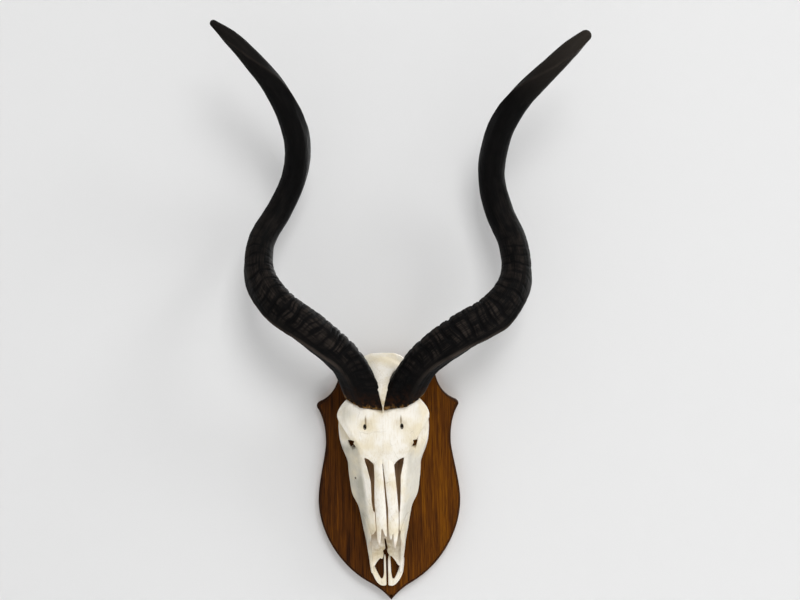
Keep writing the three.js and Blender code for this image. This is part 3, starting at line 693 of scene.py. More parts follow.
def bleached_bone():
    """Boiled and bleached bone, dry and matt. The eye gets warm white with cream clouds a few
    centimetres wide, fibres along the face, pin-sized pores and a fine zigzag seam down the
    forehead. Grease stains lie in the low places and on the sides of the head, where they are
    partly painted shade, and the inside of the nose is brown, partly painted shade. Painted shade
    greys the side planes of the cheeks, brown painted shade fills the grooves over the eyes, and
    painted shadow blackens the holes."""
    material, add = new_material("boiled and bleached bone, matt")
    place = add("ShaderNodeTexCoord").outputs["Object"]
    clouds = add("ShaderNodeTexNoise", Vector=place, Scale=26.0, Detail=5.0)
    colour = add("ShaderNodeValToRGB", _0=clouds.outputs["Fac"],
        stops=[(0.38, BONE_WARM), (0.56, BONE_LIGHT)])
    along = add("ShaderNodeMapping", _0=place, Scale=(520, 520, 34))
    fibres = add("ShaderNodeTexNoise", Vector=along, Scale=1.0, Detail=3.0)
    grain = add("ShaderNodeMapRange", Value=fibres.outputs["Fac"], _1=0.50, _2=0.72, _4=0.32)
    pores = add("ShaderNodeTexVoronoi", Vector=place, Scale=620.0)
    patches = add("ShaderNodeTexNoise", Vector=place, Scale=45.0, Detail=2.0)
    where = add("ShaderNodeMapRange", Value=patches.outputs["Fac"], _1=0.5, _2=0.62)
    pit = add("ShaderNodeMapRange", Value=pores.outputs["Distance"], _1=0.10, _2=0.26, _3=1.0,
        _4=0.0)
    pits = add("ShaderNodeMath", "MULTIPLY", _0=pit, _1=where)
    faint = add("ShaderNodeMath", "MULTIPLY", _0=pits, _1=0.45)
    wander = add("ShaderNodeTexNoise", Vector=place, Scale=60.0, Detail=4.0)
    strayed = add("ShaderNodeVectorMath", "SCALE", _0=wander.outputs["Color"], Scale=0.010)
    crack_place = add("ShaderNodeVectorMath", "ADD", _0=place, _1=strayed)
    crack_cells = add("ShaderNodeTexVoronoi", {"feature": "DISTANCE_TO_EDGE"}, Vector=crack_place,
        Scale=24.0)
    crack = add("ShaderNodeMapRange", Value=crack_cells.outputs["Distance"], _1=0.004, _2=0.016,
        _3=0.24, _4=0.0)
    cracks = add("ShaderNodeMath", "MULTIPLY", _0=crack, _1=where)
    parts = add("ShaderNodeSeparateXYZ", _0=place)
    zig = add("ShaderNodeTexNoise", Vector=place, Scale=190.0, Detail=2.0)
    bent = add("ShaderNodeMath", "MULTIPLY_ADD", _0=zig.outputs["Fac"], _1=0.006,
        _2=-0.003 - SKULL_X / 1000)
    across = add("ShaderNodeMath", "ADD", _0=parts.outputs["X"], _1=bent)
    off_seam = add("ShaderNodeMath", "ABSOLUTE", _0=across)
    thin = add("ShaderNodeMapRange", Value=off_seam, _1=0.0002, _2=0.0008, _3=0.14, _4=0.0)
    low_end = add("ShaderNodeMapRange", Value=parts.outputs["Z"], _1=0.036, _2=0.050)
    high_end = add("ShaderNodeMapRange", Value=parts.outputs["Z"], _1=0.150, _2=0.195, _3=1.0,
        _4=0.0)
    between = add("ShaderNodeMath", "MULTIPLY", _0=low_end, _1=high_end)
    seam = add("ShaderNodeMath", "MULTIPLY", _0=thin, _1=between)
    off_middle = add("ShaderNodeMath", "ADD", _0=parts.outputs["X"], _1=-SKULL_X / 1000)
    to_side = add("ShaderNodeMath", "ABSOLUTE", _0=off_middle)
    folded = add("ShaderNodeCombineXYZ", X=to_side, Y=parts.outputs["Y"], Z=parts.outputs["Z"])
    from_brow = add("ShaderNodeVectorMath", "DISTANCE", _0=folded, _1=(0.030, -0.131, 0.091))
    brow = add("ShaderNodeMapRange", SMOOTH, Value=from_brow.outputs["Value"], _1=0.001, _2=0.016,
        _3=0.5, _4=0.0)
    # the stain attribute: grease stains, partly painted shade on the side planes of the head
    spread = add("ShaderNodeAttribute", {"attribute_name": "stain"})
    grease_and_shade = add("ShaderNodeMath", "MAXIMUM", _0=spread.outputs["Fac"], _1=brow)
    blots = add("ShaderNodeTexNoise", Vector=place, Scale=150.0, Detail=4.0)
    patchy = add("ShaderNodeMapRange", Value=blots.outputs["Fac"], _1=0.35, _2=0.65, _3=0.3)
    much = add("ShaderNodeMath", "MULTIPLY", _0=grease_and_shade, _1=patchy)
    # painted shade: grey on the cheeks' side planes, the left more, and on the forehead's left
    # corner
    grey_shade_attribute = add("ShaderNodeAttribute", {"attribute_name": "weather"})
    uneven = add("ShaderNodeMapRange", Value=clouds.outputs["Fac"], _1=0.35, _2=0.62, _3=0.4,
        _4=1.1)
    grey_shade_amount = add("ShaderNodeMath", {"operation": "MULTIPLY", "use_clamp": True},
        _0=grey_shade_attribute.outputs["Fac"], _1=uneven)
    # the inside of the nose: the brown of the dried inner bone and painted shade of the hollow
    inside = add("ShaderNodeAttribute", {"attribute_name": "inside"})
    # painted shade: the groove above each hole over the eyes is painted brown
    beside_groove = add("ShaderNodeVectorMath", "SUBTRACT", _0=folded, _1=(0.0303, 0, 0.0975))
    groove_shape = add("ShaderNodeVectorMath", "MULTIPLY", _0=beside_groove, _1=(1.0, 0.0, 0.20))
    from_groove = add("ShaderNodeVectorMath", "LENGTH", _0=groove_shape)
    groove_shade = add("ShaderNodeMapRange", Value=from_groove.outputs["Value"], _1=0.0008, _2=0.0021,
        _3=0.8, _4=0.0)
    # painted shadow: the holes over the eyes, and the small hole and eye gaps marked dark, are
    # painted near-black
    beside_hole = add("ShaderNodeVectorMath", "SUBTRACT", _0=folded, _1=(0.0317, 0, 0.0868))
    hole_shape = add("ShaderNodeVectorMath", "MULTIPLY", _0=beside_hole, _1=(1.0, 0.0, 0.60))
    from_hole = add("ShaderNodeVectorMath", "LENGTH", _0=hole_shape)
    brow_hole = add("ShaderNodeMapRange", Value=from_hole.outputs["Value"], _1=0.0026, _2=0.0032,
        _3=1.0, _4=0.0)
    outside = add("ShaderNodeMath", "LESS_THAN", _0=parts.outputs["Y"], _1=-0.050)
    brow_hole_shadow = add("ShaderNodeMath", "MULTIPLY", _0=brow_hole, _1=outside)
    small_hole_shadow = add("ShaderNodeAttribute", {"attribute_name": "dark"})
    hollow = add("ShaderNodeMath", "MAXIMUM", _0=brow_hole_shadow, _1=small_hole_shadow.outputs["Fac"])
    # the layers over the clouds, from the lowest up: how much of each, and its colour
    for amount, code in (
            (grain, BONE_FIBRE), (faint, BONE_PORE), (cracks, BONE_CRACK), (seam, BONE_SEAM),
            (much, BONE_STAIN_AND_SHADE), (grey_shade_amount, BONE_SHADE_GREY), (inside.outputs["Fac"], BONE_INSIDE_AND_SHADE),
            (groove_shade, BONE_GROOVE_SHADE), (hollow, BONE_SHADOW_BLACK)):
        mixed = add("ShaderNodeMix", {"data_type": "RGBA"}, _0=amount, _6=colour, _7=paint(code))
        colour = mixed.outputs[2]
    dull = add("ShaderNodeMapRange", Value=clouds.outputs["Fac"], _1=0.35, _2=0.65, _3=0.62, _4=0.5)
    dents = add("ShaderNodeBump", Strength=0.25, Distance=0.0005, Height=fibres.outputs["Fac"])
    swell = add("ShaderNodeBump", Strength=0.35, Distance=0.0016, Height=patches.outputs["Fac"],
        Normal=dents)
    deep = add("ShaderNodeBump", {"invert": True}, Strength=0.6, Distance=0.0004, Height=pits,
        Normal=swell)
    surface = add("ShaderNodeBsdfPrincipled", Base_Color=colour, Roughness=dull, IOR=1.53,
        Normal=deep)
    add("ShaderNodeOutputMaterial", Surface=surface)
    return material


bone = bleached_bone()
# grease stains; the last two, on the side planes of the head, are stain and painted shade together
STAINS_AND_SHADE = [  # x, h, z, reach, strength, in millimetres
    (0, 134, 116, 9, 0.5), (0, 126, 132, 13, 0.7), (0, 118, 146, 16, 0.45),
    (-17, 121, 126, 14, 0.6), (20, 121, 126, 16, 0.6), (-3, 124, 40, 9, 0.25),
    (-53, 118, 58, 10, 0.4),
    (53, 118, 58, 10, 0.4), (40, 112, 46, 14, 0.35), (-21, 98, -62, 7, 0.5), (24, 98, -64, 7, 0.5),
    (-22, 86, -100, 9, 0.4), (-20, 40, -140, 18, 0.5), (18, 40, -140, 18, 0.5),
    (0, 40, -128, 16, 0.6), (-66, 126, 118, 9, 0.25), (0, 80, 190, 40, 0.12),
    (-21, 50, -104, 15, 0.35), (22, 50, -106, 15, 0.35), (24, 66, -92, 6, 0.4),
    (-78, 100, 85, 22, 0.35), (78, 100, 85, 22, 0.35)]


def store(mesh, kind="FLOAT", **values):
    """Stores numbers, or directions, on a mesh's points under their names."""
    for label, numbers in values.items():
        mesh.attributes.new(label, kind, "POINT").data.foreach_set(
            "value" if kind == "FLOAT" else "vector", np.asarray(numbers, np.float32).ravel())


def bone_piece(name, block, most):
    """Skins a block as a piece of at most so many triangles, with its stains, its inside, and its
    painted shade and shadow.
    """
    points, faces = block.skin()
    points[:, 0] += SKULL_X
    piece = mesh_piece(name, points / 1000, faces.tolist(), bone)
    thinner = piece.modifiers.new("thinner", "DECIMATE")
    thinner.ratio = min(1.0, most / (2 * len(faces)))
    applied(piece)
    mesh = piece.data
    place = np.empty(len(mesh.vertices) * 3, np.float32)
    mesh.vertices.foreach_get("co", place)
    x, y, z = place.reshape(-1, 3).T * 1000
    x, h = x - SKULL_X, -y
    # grease stains, and on the side planes of the head partly painted shade
    stain = sum(strength * np.exp(-((x - a) ** 2 + (h - b) ** 2 + (z - c) ** 2) / reach ** 2)
                for a, b, c, reach, strength in STAINS_AND_SHADE)
    # how deep inside the nose a point lies: brown of the dried inner bone and painted shade in the
    # hollow
    depth = np.clip((-face_distance(np.abs(x), h, np.maximum(z, -108)) - 1.2) / 2, 0, 1)
    inside = depth * np.clip((30 - z) / 4, 0, 1) * np.clip((z + 140) / 46, 0, 1) * np.clip(
        (h - 42) / 5, 0, 1)
    # the small hole in one cheek and the gaps at the eyes' front corners get painted shadow, and
    # painted shade greys the side planes of the cheeks, the left ones more, and the forehead's left
    # corner
    dark = 0.8 * np.clip(2.6 - np.hypot(np.hypot(x + 51, z + 5), 0.5 * (h - 88)), 0, 1)
    for gap in EYE_GAPS:
        within = np.clip(0.7 - through_gap(gap, x, h, z), 0, 1)
        dark = np.maximum(dark, 0.8 * within * np.clip((98 - h) / 4, 0, 1))
    plane = (np.clip((np.abs(x) - 30 - 0.12 * (z + 40)) / 6, 0, 1) * np.clip((60 - z) / 12, 0, 1)
             * np.clip((h - 46) / 8, 0, 1))
    weather = plane * np.where(x < 0, 0.85, 0.42) + 0.6 * np.exp(
        -((x + 62) ** 2 + (z - 108) ** 2) / 14 ** 2)
    store(mesh, stain=np.clip(stain, 0, 0.9), inside=0.8 * inside, dark=dark, weather=weather)
    return piece


skull = bone_piece("skull_bone", skull_block, 190000)
carry(skull, "skull_bone", "skull")

# ---------------------------------------------------------------- nasal bones
# Two long thin bones that lie side by side over the nose, each gently domed across and forked
# at its tip. They sit in their slot between the cheek bones with a gap down the middle.

NASAL_RIDGE = [(-132, 83), (-114, 88.5), (-100, 92.5), (-72, 100), (-34, 110.5), (-8, 116.5),
               (14, 119.6), (24, 120.6), (32, 120.4), (42, 116)]
NASAL_THICK = 3.2


def domed(outline, middle):
    """A thin plate with this outline from the front, domed across its own middle."""
    flat_low, flat_high, flat = window_in(outline, 60, 140)
    heights, middles = np.array(NASAL_RIDGE, float), np.array(middle, float)

    def distance(x, h, z):
        ridge = curve_through(heights[:, 0], heights[:, 1], z.ravel()).reshape(z.shape)
        centre = curve_through(middles[:, 0], middles[:, 1], z.ravel()).reshape(z.shape)
        crown = ridge - 0.009 * x ** 2 - 2.3 * ((x - centre) / 8.5) ** 2
        return np.maximum(flat(x, h, z), np.abs(h - crown + NASAL_THICK / 2) - NASAL_THICK / 2)
    low = (flat_low[0], heights[:, 1].min() - 16, flat_low[2])
    return low, (flat_high[0], heights[:, 1].max() + 2, flat_high[2]), distance


for name, outline, middle in (
        ("nasal_bone_left", NASAL_LEFT, [(-124, -7), (-60, -8), (0, -9.3), (40, -10)]),
        ("nasal_bone_right", NASAL_RIGHT, [(-131, 15), (-60, 14), (0, 10), (40, 7)])):
    shape = domed(outline, middle)
    block = BoneBlock(np.array(shape[0]) - 4, np.array(shape[1]) + 4, 0.8)
    block.grow(shape, 0.1)
    block.soften(2)
    carry(bone_piece(name + "_bone", block, 50000), "skull_bone", name)

# ---------------------------------------------------------------- front jaw bones
# The two premaxillae: each has a thin blade that runs back beside the cheek bone, a flat
# toothless toe, and a narrow bar that runs back beside the middle. The toes meet in front.

JAW_TOES = {
    "left": [
        (-0.9, -203), (-6, -203.9), (-11.6, -202.6), (-17, -198), (-21.1, -191.6), (-24.6, -183.5),
        (-27.4, -175.2), (-29.2, -165), (-29.8, -153), (-25.5, -153), (-24, -161), (-21, -169),
        (-17.6, -177), (-14, -184.3), (-10.5, -190.6), (-8.8, -191.5), (-6.8, -188.6),
        (-5.2, -182), (-4.9, -150), (-4, -147), (-1.8, -148), (-1.2, -153)],
    "right": [
        (2.3, -203.4), (10, -204.4), (16, -201), (21.2, -195.1), (25.4, -188.6), (28.2, -181.5),
        (30.2, -170), (31.3, -158.6), (31.5, -153), (26.5, -153), (25.2, -162), (22.9, -168.7),
        (20, -177), (17.3, -183.5), (13.4, -190.8), (11.6, -192.4), (9.6, -190), (7.8, -179.2),
        (6.9, -151), (5.6, -149), (3.2, -150.5), (2.4, -158)],
}
for side, name in ((-1, "left"), (1, "right")):
    block = BoneBlock((min(side * 43, 0) - 1, 20, -209), (max(side * 43, 0) + 1, 88, -62), 0.8)
    block.grow(window_in(JAW_TOES[name], 26, 31.5), 1)
    ends = np.array([blade_low, blade_high]) * (side, 1, 1)
    block.grow((ends.min(0), ends.max(0), lambda x, h, z: blade(side * x, h, z)), 3)
    block.soften(3)
    jaw = bone_piece(f"front_jaw_{name}_bone", block, 60000)
    carry(jaw, "skull_bone", f"front_jaw_bone_{name}")

# ---------------------------------------------------------------- cheek teeth
# Six high-crowned upper cheek teeth on each side, worn to double crescents. Each is a block of
# enamel ribbed on its outer face, and its root sits in the jaw. They grow larger to the back.

TEETH = 6
TOOTH_PITCH = 0.0176
ROW_START = (-0.0262, -0.0203, -0.0792)   # beside the middle, at the worn face, of the front tooth
ROW_SPREAD = 0.0021                       # how far each next tooth stands further out
TOOTH_GROWTH = 0.092                      # how much wider each next tooth is, as a share
ENAMEL = "#e9dfc6"
ENAMEL_STAIN = "#5b3d1c"


def tooth_enamel():
    """Tooth enamel with the brown tartar of a browser. The eye gets glossy ivory with fine
    upright lines, brown stain that gathers toward the gum and in the folds, about 3 mm wide."""
    material, add = new_material("tooth enamel with brown tartar")
    place = add("ShaderNodeTexCoord").outputs["Object"]
    parts = add("ShaderNodeSeparateXYZ", _0=place)
    folded = add("ShaderNodeAttribute", {"attribute_name": "fold"})
    upright = add("ShaderNodeMapping", _0=place, Scale=(700, 90, 700))
    lines = add("ShaderNodeTexNoise", Vector=upright, Scale=1.0, Detail=3.0)
    blots = add("ShaderNodeTexNoise", Vector=place, Scale=260.0, Detail=3.0)
    gum = add("ShaderNodeMapRange", Value=parts.outputs["Y"], _1=-0.024, _2=-0.038, _4=0.75)
    more = add("ShaderNodeMath", "ADD", _0=gum, _1=folded.outputs["Fac"])
    amount = add("ShaderNodeMath", {"operation": "MULTIPLY", "use_clamp": True}, _0=more,
        _1=blots.outputs["Fac"])
    colour = add("ShaderNodeMix", {"data_type": "RGBA"}, _0=amount, _6=paint(ENAMEL),
        _7=paint(ENAMEL_STAIN))
    dull = add("ShaderNodeMapRange", Value=amount, _3=0.2, _4=0.5)
    dents = add("ShaderNodeBump", Strength=0.3, Distance=0.0003, Height=lines.outputs["Fac"])
    surface = add("ShaderNodeBsdfPrincipled", Base_Color=colour.outputs[2], Roughness=dull,
        IOR=1.62, Normal=dents)
    add("ShaderNodeOutputMaterial", Surface=surface)
    return material


def new_tree(name, **inputs):
    """An empty Geometry Nodes tree with a geometry going in and out, and these named inputs."""
    tree = bpy.data.node_groups.new(name, "GeometryNodeTree")
    for label, kind in {"Geometry": "Geometry", **inputs}.items():
        tree.interface.new_socket(label.replace("_", " "), in_out="INPUT",
                                  socket_type="NodeSocket" + kind)
    tree.interface.new_socket("Geometry", in_out="OUTPUT", socket_type="NodeSocketGeometry")
    return tree


def add_maker(piece, tree, sizes):
    """Gives the piece a modifier that runs the tree, each input set by its socket's identifier."""
    maker = piece.modifiers.new("maker", "NODES")
    maker.node_group = tree
    for item in tree.interface.items_tree:
        if item.in_out == "INPUT" and item.name in sizes:
            maker[item.identifier] = sizes[item.name]


def tooth_row():
    """A tree that sets a tooth out along a row, each larger than the one before."""
    tree = new_tree("tooth_row", Teeth="Int", Start="Vector", Pitch="Vector", Growth="Float",
                    Enamel="Material")
    add = partial(add_node, tree)
    given = add("NodeGroupInput").outputs
    places = add("GeometryNodeMeshLine", Count=given["Teeth"], Start_Location=given["Start"],
        Offset=given["Pitch"])
    number = add("GeometryNodeInputIndex")
    wider = add("ShaderNodeMath", "MULTIPLY_ADD", _0=number, _1=given["Growth"], _2=1.0)
    size = add("ShaderNodeCombineXYZ", X=wider, Y=1.0, Z=1.0)
    teeth = add("GeometryNodeInstanceOnPoints", Points=places, Instance=given["Geometry"],
        Scale=size)
    real = add("GeometryNodeRealizeInstances", Geometry=teeth)
    done = add("GeometryNodeSetMaterial", Geometry=real, Material=given["Enamel"])
    add("NodeGroupOutput", _0=done)
    return tree


# one tooth: x outward, y from the worn face to the root, z along the row
TOOTH_SIDES = 72
HALF_WIDTH, HALF_LENGTH = 0.0060, 0.0083
LOBE = 0.0009          # how far the two lobes of a tooth stand out
around = np.linspace(0, 2 * math.pi, TOOTH_SIDES, endpoint=False)
c, s = np.cos(around), np.sin(around)
block_x = np.sign(c) * np.abs(c) ** 0.62 * HALF_WIDTH
block_z = np.sign(s) * np.abs(s) ** 0.62 * HALF_LENGTH
wave = 2 * math.pi * block_z / HALF_LENGTH
lobes = LOBE * np.cos(wave) * np.clip(np.abs(c) * 1.6 - 0.3, 0, 1)
fold_depth = np.clip(0.5 - 0.5 * np.cos(wave + math.pi), 0, 1)
points, fold = [], []
for depth, size, lobe, is_side in (
        (-0.0217, 0.90, 1.2, True), (-0.0005, 0.93, 1.2, True), (0.0, 0.90, 1.1, False),
        (-0.0006, 0.70, 0.6, False), (-0.0002, 0.50, 0.4, False), (-0.0012, 0.30, 0.2, False)):
    for x, z, l, f in zip(block_x, block_z, lobes, fold_depth):
        points.append((x * size + math.copysign(l * lobe, x), depth, z * size))
        fold.append(0.6 * f if is_side else 0.2)
faces = tube(0, len(points) // TOOTH_SIDES, TOOTH_SIDES)
enamel, set_out = tooth_enamel(), tooth_row()
for side, name in ((-1, "left"), (1, "right")):
    row = mesh_piece(f"cheek_teeth_{name}", [(side * x, y, z) for x, y, z in points], faces, enamel)
    store(row.data, fold=fold)
    add_maker(row, set_out, {
        "Teeth": TEETH, "Growth": TOOTH_GROWTH, "Enamel": enamel,
        "Start": (SKULL_X / 1000 - side * ROW_START[0], ROW_START[1], ROW_START[2]),
        "Pitch": (side * ROW_SPREAD, 0, TOOTH_PITCH)})
    carry(applied(row), "tooth_enamel", *[f"cheek_tooth_{name}_{i + 1}" for i in range(TEETH)])

# ---------------------------------------------------------------- horns
# The black horn sheaths of a bull: an open spiral of a little over one turn, with a keel that
# winds round the outside, wrinkled across for the first half of its length and then smooth. Each
# sheath is pushed over its bone core and ends in a ragged brown rim.

HORNS = {  # x, y, z, diameter in millimetres, keel's turn from the front in degrees
    "left": [
        (-37, -96, 104, 64, 0), (-45, -112, 146, 63, 12), (-68, -136, 201, 62, 28),
        (-122, -163, 253, 62, 49), (-180, -152, 299, 61, 70), (-213, -124, 352, 53, 100),
        (-212, -94, 410, 49, 150), (-181, -74, 466, 46, 190), (-154, -84, 524, 44.5, 235),
        (-148, -128, 587, 44, 262), (-175, -182, 658, 40, 305), (-221, -202, 717, 32, 370),
        (-249.3, -205.5, 746, 26, 400), (-280, -206, 773, 10, 430)],
    "right": [
        (24, -96, 104, 64, 0), (34, -112, 146, 64, 12), (65, -136, 199, 64, 28),
        (123, -163, 243, 66, 49), (186, -154, 281, 65, 70), (223, -126, 333, 55, 100),
        (224, -94, 395, 52, 150), (201, -74, 457, 51, 190), (189, -86, 519, 48, 235),
        (202, -136, 585, 44.5, 262), (235, -176, 638, 41.5, 305), (289, -200, 689, 34.5, 370),
        (318.8, -204.5, 716.6, 30, 400), (350, -206, 743, 17, 430)],
}
HORN_RINGS = 880
HORN_SIDES = 104
KEEL_SPREAD = 0.60     # radians from the keel's edge to where its flat sides meet the round
CORNER = 0.36          # of the radius: the foot's corner toward the other horn
RIB_PITCH = 0.0185
RIB_DEPTH = 0.0026
RIBBED_LENGTH = 0.430  # where the last wrinkle fades
HORN_DARK = "#040404"
HORN_GREY = "#121110"
HORN_WORN_AND_SHEEN = "#4c433c"
HORN_TIP = "#3d3731"
HORN_BROWN = "#321a08"
HORN_RIM = "#96713e"


def horn_course(rows, side):
    """The horn's middle line as points in metres with their directions, girths and turns."""
    rows = np.array(rows, float)
    padded = np.vstack([2 * rows[0] - rows[1], rows, 2 * rows[-1] - rows[-2]])[:, :3]
    t = np.linspace(0, len(rows) - 1, 6001)
    i = np.minimum(t.astype(int), len(rows) - 2)
    u = (t - i)[:, None]
    a, b, c, d = (padded[i + k] for k in range(4))
    place = 0.5 * (2 * b + (c - a) * u + (2 * a - 5 * b + 4 * c - d) * u ** 2
                   + (3 * b - a - 3 * c + d) * u ** 3)
    course = np.gradient(place, axis=0)
    course /= np.linalg.norm(course, axis=1)[:, None]
    girth = np.interp(t, range(len(rows)), rows[:, 3])
    keel = np.radians(curve_through(range(len(rows)), rows[:, 4], t))
    slope = np.array([FOOT_SLOPE[0] * side, -FOOT_SLOPE[1], FOOT_SLOPE[2]])
    foot = np.array([SKULL_X + FOOT_OF_HORN[0] * side, -FOOT_OF_HORN[1], FOOT_OF_HORN[2]])
    above = (place - foot) @ slope
    first = int(np.argmax(above > 0))
    place, course, girth, keel = place[first:], course[first:], girth[first:], keel[first:]
    travel = np.concatenate([[0], np.cumsum(np.linalg.norm(np.diff(place, axis=0), axis=1))])
    tip = girth[-1] / 2
    even = np.concatenate([
        np.linspace(0, travel[-1] - tip, HORN_RINGS - 16, endpoint=False),
        travel[-1] - tip + tip * np.sin(np.linspace(0, math.pi / 2, 12))])
    # the foot is closed a little way up inside the sheath: four rings before the rim
    inner = [(0.006, 0.02), (0.006, 0.80), (0.0045, 0.885), (0.0008, 0.93)]
    travel_in = np.concatenate([[1000 * rise for rise, _ in inner], even])
    shrink = np.concatenate([[part for _, part in inner], np.ones(len(even))])
    shrink[4] = 0.965
    left = travel[-1] - travel_in
    shrink *= np.sqrt(np.clip(1 - (1 - np.minimum(left / tip, 1)) ** 2, 1e-4, 1))
    sample = [np.interp(travel_in, travel, values) for values in
              (*place.T, *course.T, girth, keel)]
    place, course = np.stack(sample[:3], 1), np.stack(sample[3:6], 1)
    front = np.array([0, -1, 0]) + course * course[:, 1:2]
    front /= np.linalg.norm(front, axis=1)[:, None]
    out = np.cross(course, front) * side
    tipward = np.clip(travel_in / travel[-1] * 5 - 4, 0, 1)
    return (place / 1000, course, front, out, sample[6] * shrink / 2000, sample[7],
            travel_in / 1000, tipward, slope)


def horn_sheath():
    """A tree that lays a skin of rings round the middle line, with its keel and wrinkles."""
    tree = new_tree("horn_sheath", Rings="Int", Sides="Int", Keel_Spread="Float", Corner="Float",
                    Rib_Pitch="Float", Rib_Depth="Float", Ribbed_Length="Float",
                    Foot_Slope="Vector", Seed="Float", Keratin="Material")
    add = partial(add_node, tree)
    given = add("NodeGroupInput").outputs
    seam = add("ShaderNodeMath", "ADD", _0=given["Sides"], _1=1.0)
    sheet = add("GeometryNodeMeshGrid", Size_X=1.0, Size_Y=1.0, Vertices_X=given["Rings"],
        Vertices_Y=seam)
    flat = add("ShaderNodeSeparateXYZ", _0=add("GeometryNodeInputPosition"))
    last = add("ShaderNodeMath", "SUBTRACT", _0=given["Rings"], _1=1.0)
    half = add("ShaderNodeMath", "ADD", _0=flat.outputs["X"], _1=0.5)
    exact = add("ShaderNodeMath", "MULTIPLY", _0=half, _1=last)
    ring = add("ShaderNodeMath", "ROUND", _0=exact)
    angle = add("ShaderNodeMath", "MULTIPLY_ADD", _0=flat.outputs["Y"], _1=2 * math.pi, _2=math.pi)
    at_ring = {}
    for label, kind in (("course", "FLOAT_VECTOR"), ("front", "FLOAT_VECTOR"),
                        ("out", "FLOAT_VECTOR"), ("girth", "FLOAT"), ("turn", "FLOAT"),
                        ("travel", "FLOAT"), ("tip_wear", "FLOAT")):
        stored = add("GeometryNodeInputNamedAttribute", {"data_type": kind}, Name=label)
        at_ring[label] = add("GeometryNodeSampleIndex", {"data_type": kind},
            Geometry=given["Geometry"], Value=stored, Index=ring)
    middle = add("GeometryNodeSampleIndex", {"data_type": "FLOAT_VECTOR"},
        Geometry=given["Geometry"], Index=ring, Value=add("GeometryNodeInputPosition"))
    cosine = add("ShaderNodeMath", "COSINE", _0=angle)
    sine = add("ShaderNodeMath", "SINE", _0=angle)
    forward = add("ShaderNodeVectorMath", "SCALE", _0=at_ring["front"], Scale=cosine)
    sideways = add("ShaderNodeVectorMath", "SCALE", _0=at_ring["out"], Scale=sine)
    away = add("ShaderNodeVectorMath", "ADD", _0=forward, _1=sideways)
    # the keel: a rounded ridge where the angle meets the keel's turn
    from_keel = add("ShaderNodeMath", "SUBTRACT", _0=angle, _1=at_ring["turn"])
    wrapped = add("ShaderNodeMath", "WRAP", _0=from_keel, _1=math.pi, _2=-math.pi)
    squared = add("ShaderNodeMath", "MULTIPLY_ADD", _0=wrapped, _1=wrapped, _2=0.004)
    off_keel = add("ShaderNodeMath", "SQRT", _0=squared)
    under = add("ShaderNodeMath", "SUBTRACT", _0=given["Keel Spread"], _1=off_keel)
    lean = add("ShaderNodeMath", "MAXIMUM", _0=under, _1=0.0)
    flatness = add("ShaderNodeMath", "COSINE", _0=lean)
    raised = add("ShaderNodeMath", "DIVIDE", _0=0.96, _1=flatness)
    keel = add("ShaderNodeMapRange", Value=off_keel, _2=0.45, _3=1.0, _4=0.0)
    # the corner of the foot toward the other horn, which is gone a hand's width up
    to_corner = add("ShaderNodeMath", "ADD", _0=angle, _1=0.98)
    corner_turn = add("ShaderNodeMath", "WRAP", _0=to_corner, _1=math.pi, _2=-math.pi)
    corner_squared = add("ShaderNodeMath", "MULTIPLY", _0=corner_turn, _1=corner_turn)
    corner_falls = add("ShaderNodeMath", "MULTIPLY", _0=corner_squared, _1=-5.4)
    corner_bump = add("ShaderNodeMath", "EXPONENT", _0=corner_falls)
    low_down = add("ShaderNodeMapRange", SMOOTH, Value=at_ring["travel"], _2=0.085,
        _3=given["Corner"], _4=0.0)
    corner = add("ShaderNodeMath", "MULTIPLY_ADD", _0=corner_bump, _1=low_down, _2=raised)
    radius = add("ShaderNodeMath", "MULTIPLY", _0=corner, _1=at_ring["girth"])
    # the wrinkles: uneven grooves across the horn, which fade out along it
    far = add("ShaderNodeMath", "ADD", _0=at_ring["travel"], _1=given["Seed"])
    course_point = add("ShaderNodeCombineXYZ", X=cosine, Y=sine, Z=far)
    bent_place = add("ShaderNodeVectorMath", "MULTIPLY", _0=course_point, _1=(0.62, 0.62, 17.0))
    bends = add("ShaderNodeTexNoise", Vector=bent_place, Scale=1.0, Detail=1.5)
    counted = add("ShaderNodeMath", "DIVIDE", _0=at_ring["travel"], _1=given["Rib Pitch"])
    phase = add("ShaderNodeMath", "MULTIPLY_ADD", _0=bends.outputs["Fac"], _1=1.7, _2=counted)
    part = add("ShaderNodeMath", "FRACT", _0=phase)
    centred = add("ShaderNodeMath", "SUBTRACT", _0=part, _1=0.5)
    narrow = add("ShaderNodeMath", "DIVIDE", _0=centred, _1=0.13)
    narrow_squared = add("ShaderNodeMath", "MULTIPLY", _0=narrow, _1=narrow)
    narrow_falls = add("ShaderNodeMath", "MULTIPLY", _0=narrow_squared, _1=-1.0)
    groove = add("ShaderNodeMath", "EXPONENT", _0=narrow_falls)
    patch_place = add("ShaderNodeVectorMath", "MULTIPLY", _0=course_point, _1=(1.3, 1.3, 38.0))
    patches = add("ShaderNodeTexNoise", Vector=patch_place, Scale=1.0, Detail=1.0)
    strength = add("ShaderNodeMapRange", Value=patches.outputs["Fac"], _1=0.35, _2=0.62, _3=0.25)
    starts = add("ShaderNodeMapRange", SMOOTH, Value=at_ring["travel"], _1=0.012, _2=0.045)
    early = add("ShaderNodeMath", "MULTIPLY", _0=given["Ribbed Length"], _1=0.45)
    fades = add("ShaderNodeMapRange", SMOOTH, Value=at_ring["travel"], _1=early,
        _2=given["Ribbed Length"], _3=1.0, _4=0.0)
    held = add("ShaderNodeMath", "MULTIPLY", _0=starts, _1=fades)
    upper = add("ShaderNodeMapRange", SMOOTH, Value=wrapped, _1=-0.15, _2=-0.7, _3=0.12)
    behind = add("ShaderNodeMapRange", SMOOTH, Value=wrapped, _1=2.2, _2=3.1)
    facing = add("ShaderNodeMath", "MAXIMUM", _0=upper, _1=behind)
    sided = add("ShaderNodeMath", "MULTIPLY", _0=held, _1=facing)
